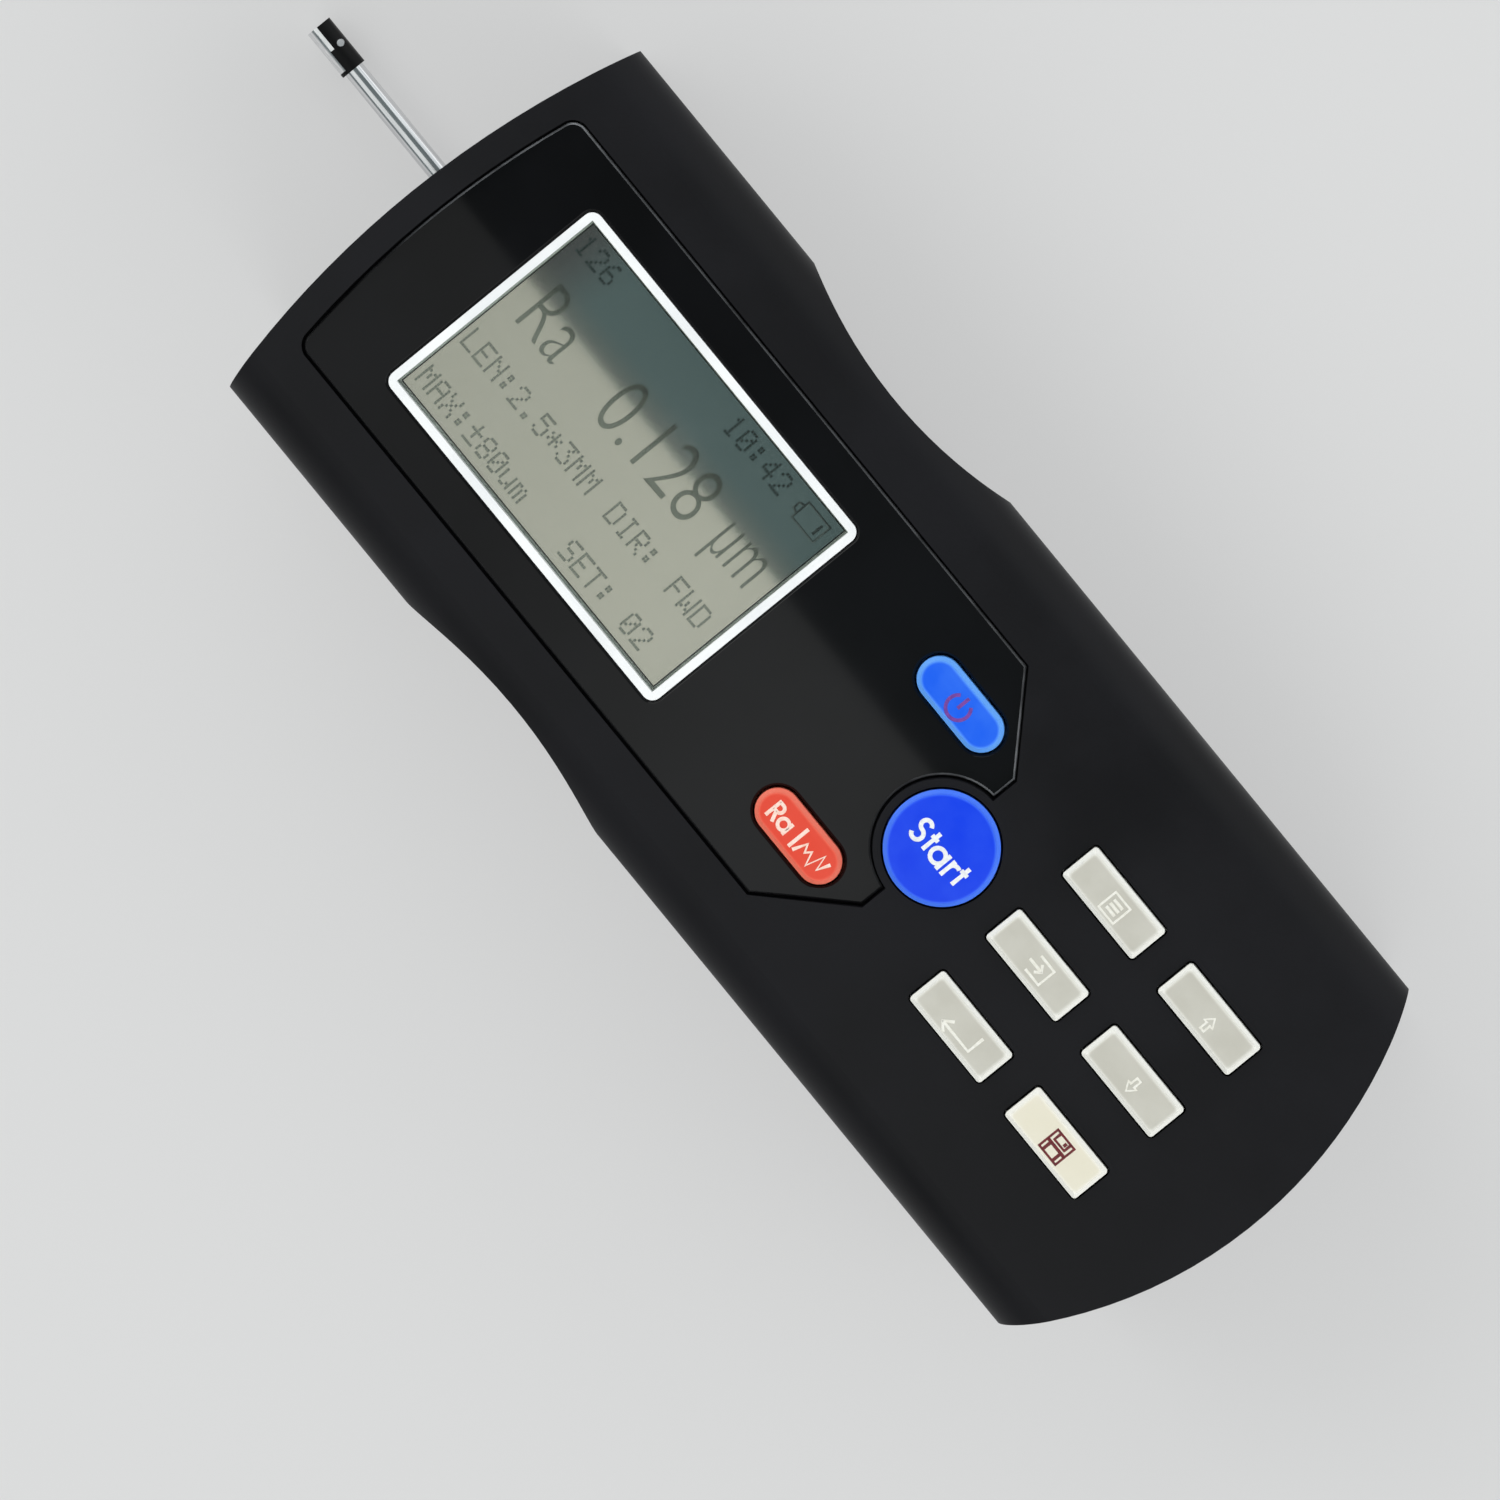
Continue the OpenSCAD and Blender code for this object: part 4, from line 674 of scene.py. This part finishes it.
dotField = bmesh.new()
for words, left, top in screen["lines"]:
    for place, letter in enumerate(words):
        for row, bits in enumerate(dots[letter]):
            for column in range(screen["columns"]):
                if not bits >> (screen["columns"] - 1 - column) & 1:
                    continue
                x = left + (place * screen["advance"] + column + 0.5) * screen["pitchX"]
                y = top - (row + 0.5) * screen["pitchY"]
                spot = Matrix.Translation((x * mm, y * mm, screenZ)) @ dotShape
                bmesh.ops.create_grid(dotField, x_segments=1, y_segments=1, size=screen["fill"] * mm / 2,
                                      matrix=spot)
dotMesh = bpy.data.meshes.new("displayDots")
dotField.to_mesh(dotMesh)
dotField.free()
link("displayDots", dotMesh, crystal, "housing")

for index, (words, x, y, width, height) in enumerate(screen["large"]):
    word = lettering(words, width, height, screen["thicker"])
    word.transform(Matrix.Translation((x * mm, y * mm, screenZ)))
    link("displayReading%d" % (index + 1), word, crystal, "housing")

battery = {"width": 0.34, "height": 0.01, "paths": [
    (True, [(-18.4, 12.1), (-14.9, 12.1), (-14.9, 9.7), (-18.4, 9.7)]),
    (False, [(-18.4, 11.5), (-19.05, 11.3), (-19.05, 10.5), (-18.4, 10.3)]),
    (False, [(-15.6, 11.6), (-15.6, 10.2)])]}
sign = strokes(battery["paths"], battery["width"], battery["height"])
sign.transform(Matrix.Translation((0.0, 0.0, screenZ)))
link("displayBattery", sign, crystal, "housing")
print("stage 4: display drawn")


# pale paper floor, which shows its own colour to the camera and in mirrors
paperTone = tone(219, 219, 219)
floorLook = {"size": 40.0, "segments": 8, "colour": paperTone, "rough": 0.75, "glow": 0.6, "below": 0.1}
floorGrid = bmesh.new()
bmesh.ops.create_grid(floorGrid, x_segments=floorLook["segments"], y_segments=floorLook["segments"],
                      size=floorLook["size"] / 2,
                      matrix=Matrix.Translation((0.0, 0.0, -floorLook["below"] * mm)))
floorMesh = bpy.data.meshes.new("floor")
floorGrid.to_mesh(floorMesh)
floorGrid.free()
floor = bpy.data.objects.new("floor", floorMesh)
bpy.context.scene.collection.objects.link(floor)
floorPaint, floorShader, floorCoords = newFinish("floorPaper")
floorCoords.feed(floorShader, {"Base Color": floorLook["colour"], "Roughness": floorLook["rough"],
                               "Specular IOR Level": 0.0})
rays = [floorCoords.node("ShaderNodeLightPath", None, None, "Is %s Ray" % kind)
        for kind in ("Camera", "Glossy", "Transmission")]
paper = Wire(floorPaint.node_tree, floorShader.outputs[0])
pale = floorCoords.node("ShaderNodeEmission", None, {"Color": floorLook["colour"]})
share = (rays[0] + rays[1] + rays[2]) * floorLook["glow"]
floorCoords.feed(floorPaint.node_tree.nodes["Material Output"],
                 {"Surface": floorCoords.node("ShaderNodeMixShader", None, {0: share, 1: paper, 2: pale})})
floorMesh.materials.append(floorPaint)

# camera fitted to the photograph: its place and its three axes, in metres
view = {"place": (-0.076587, 0.189482, 2.034553), "right": (0.633758, 0.771627, -0.053409),
        "up": (-0.772575, 0.628186, -0.091759), "back": (-0.037253, 0.099415, 0.994348),
        "lens": 453.386, "sensor": 36.0}
cameraData = bpy.data.cameras.new("photoCamera")
cameraData.lens = view["lens"]
cameraData.sensor_width = view["sensor"]
camera = bpy.data.objects.new("photoCamera", cameraData)
bpy.context.scene.collection.objects.link(camera)
camera.matrix_world = Matrix([[view["right"][i], view["up"][i], view["back"][i], view["place"][i]]
                              for i in range(3)] + [[0, 0, 0, 1]])
bpy.context.scene.camera = camera

# one wide card overhead, its edge mirrored by the panel, and softer lamps from the sides
lamps = {
    "skyCard": {"place": (0.0, -0.695, 1.05), "aim": (0.0, -0.695, 0.0), "size": (2.6, 1.211), "watts": 7.1,
                "colour": (1.0, 1.0, 0.98)},
    "backCard": {"place": (0.0, 1.35, 0.75), "aim": (0.0, 0.0, 0.0), "size": (2.6, 1.2), "watts": 8.0,
                 "colour": (0.97, 0.99, 1.0)},
    "leftLamp": {"place": (-1.6, 0.1, 1.1), "aim": (0.0, 0.0, 0.0), "size": (2.4, 2.4), "watts": 25.0,
                 "colour": (1.0, 1.0, 1.0)},
    "rightLamp": {"place": (1.6, 0.1, 1.1), "aim": (0.0, 0.0, 0.0), "size": (2.4, 2.4), "watts": 25.0,
                  "colour": (1.0, 1.0, 1.0)},
}
for name, lamp in lamps.items():
    data = bpy.data.lights.new(name, "AREA")
    data.shape = "RECTANGLE"
    data.size, data.size_y = lamp["size"]
    data.energy = lamp["watts"]
    data.color = lamp["colour"]
    holder = bpy.data.objects.new(name, data)
    bpy.context.scene.collection.objects.link(holder)
    away = Vector(lamp["place"]) - Vector(lamp["aim"])
    turned = away.to_track_quat("Z", "Y").to_matrix().to_4x4()
    holder.matrix_world = Matrix.Translation(lamp["place"]) @ turned

# pale walls round the table below a dim ceiling
sky = {"ceiling": (0.17, 0.20, 0.205, 1.0), "wall": paperTone, "from": 0.08, "to": 0.45}
world = bpy.data.worlds.new("studio")
bpy.context.scene.world = world
world.use_nodes = True
skyTree = world.node_tree
direction = Wire(skyTree, skyTree.nodes.new("ShaderNodeTexCoord").outputs["Generated"])
height = direction.axis(2).step(sky["from"], sky["to"])
direction.feed(skyTree.nodes["Background"], {"Color": direction.mix(height, sky["wall"], sky["ceiling"])})
bpy.context.scene.view_settings.view_transform = "Standard"

print("stage 5: camera, lamps and world set")
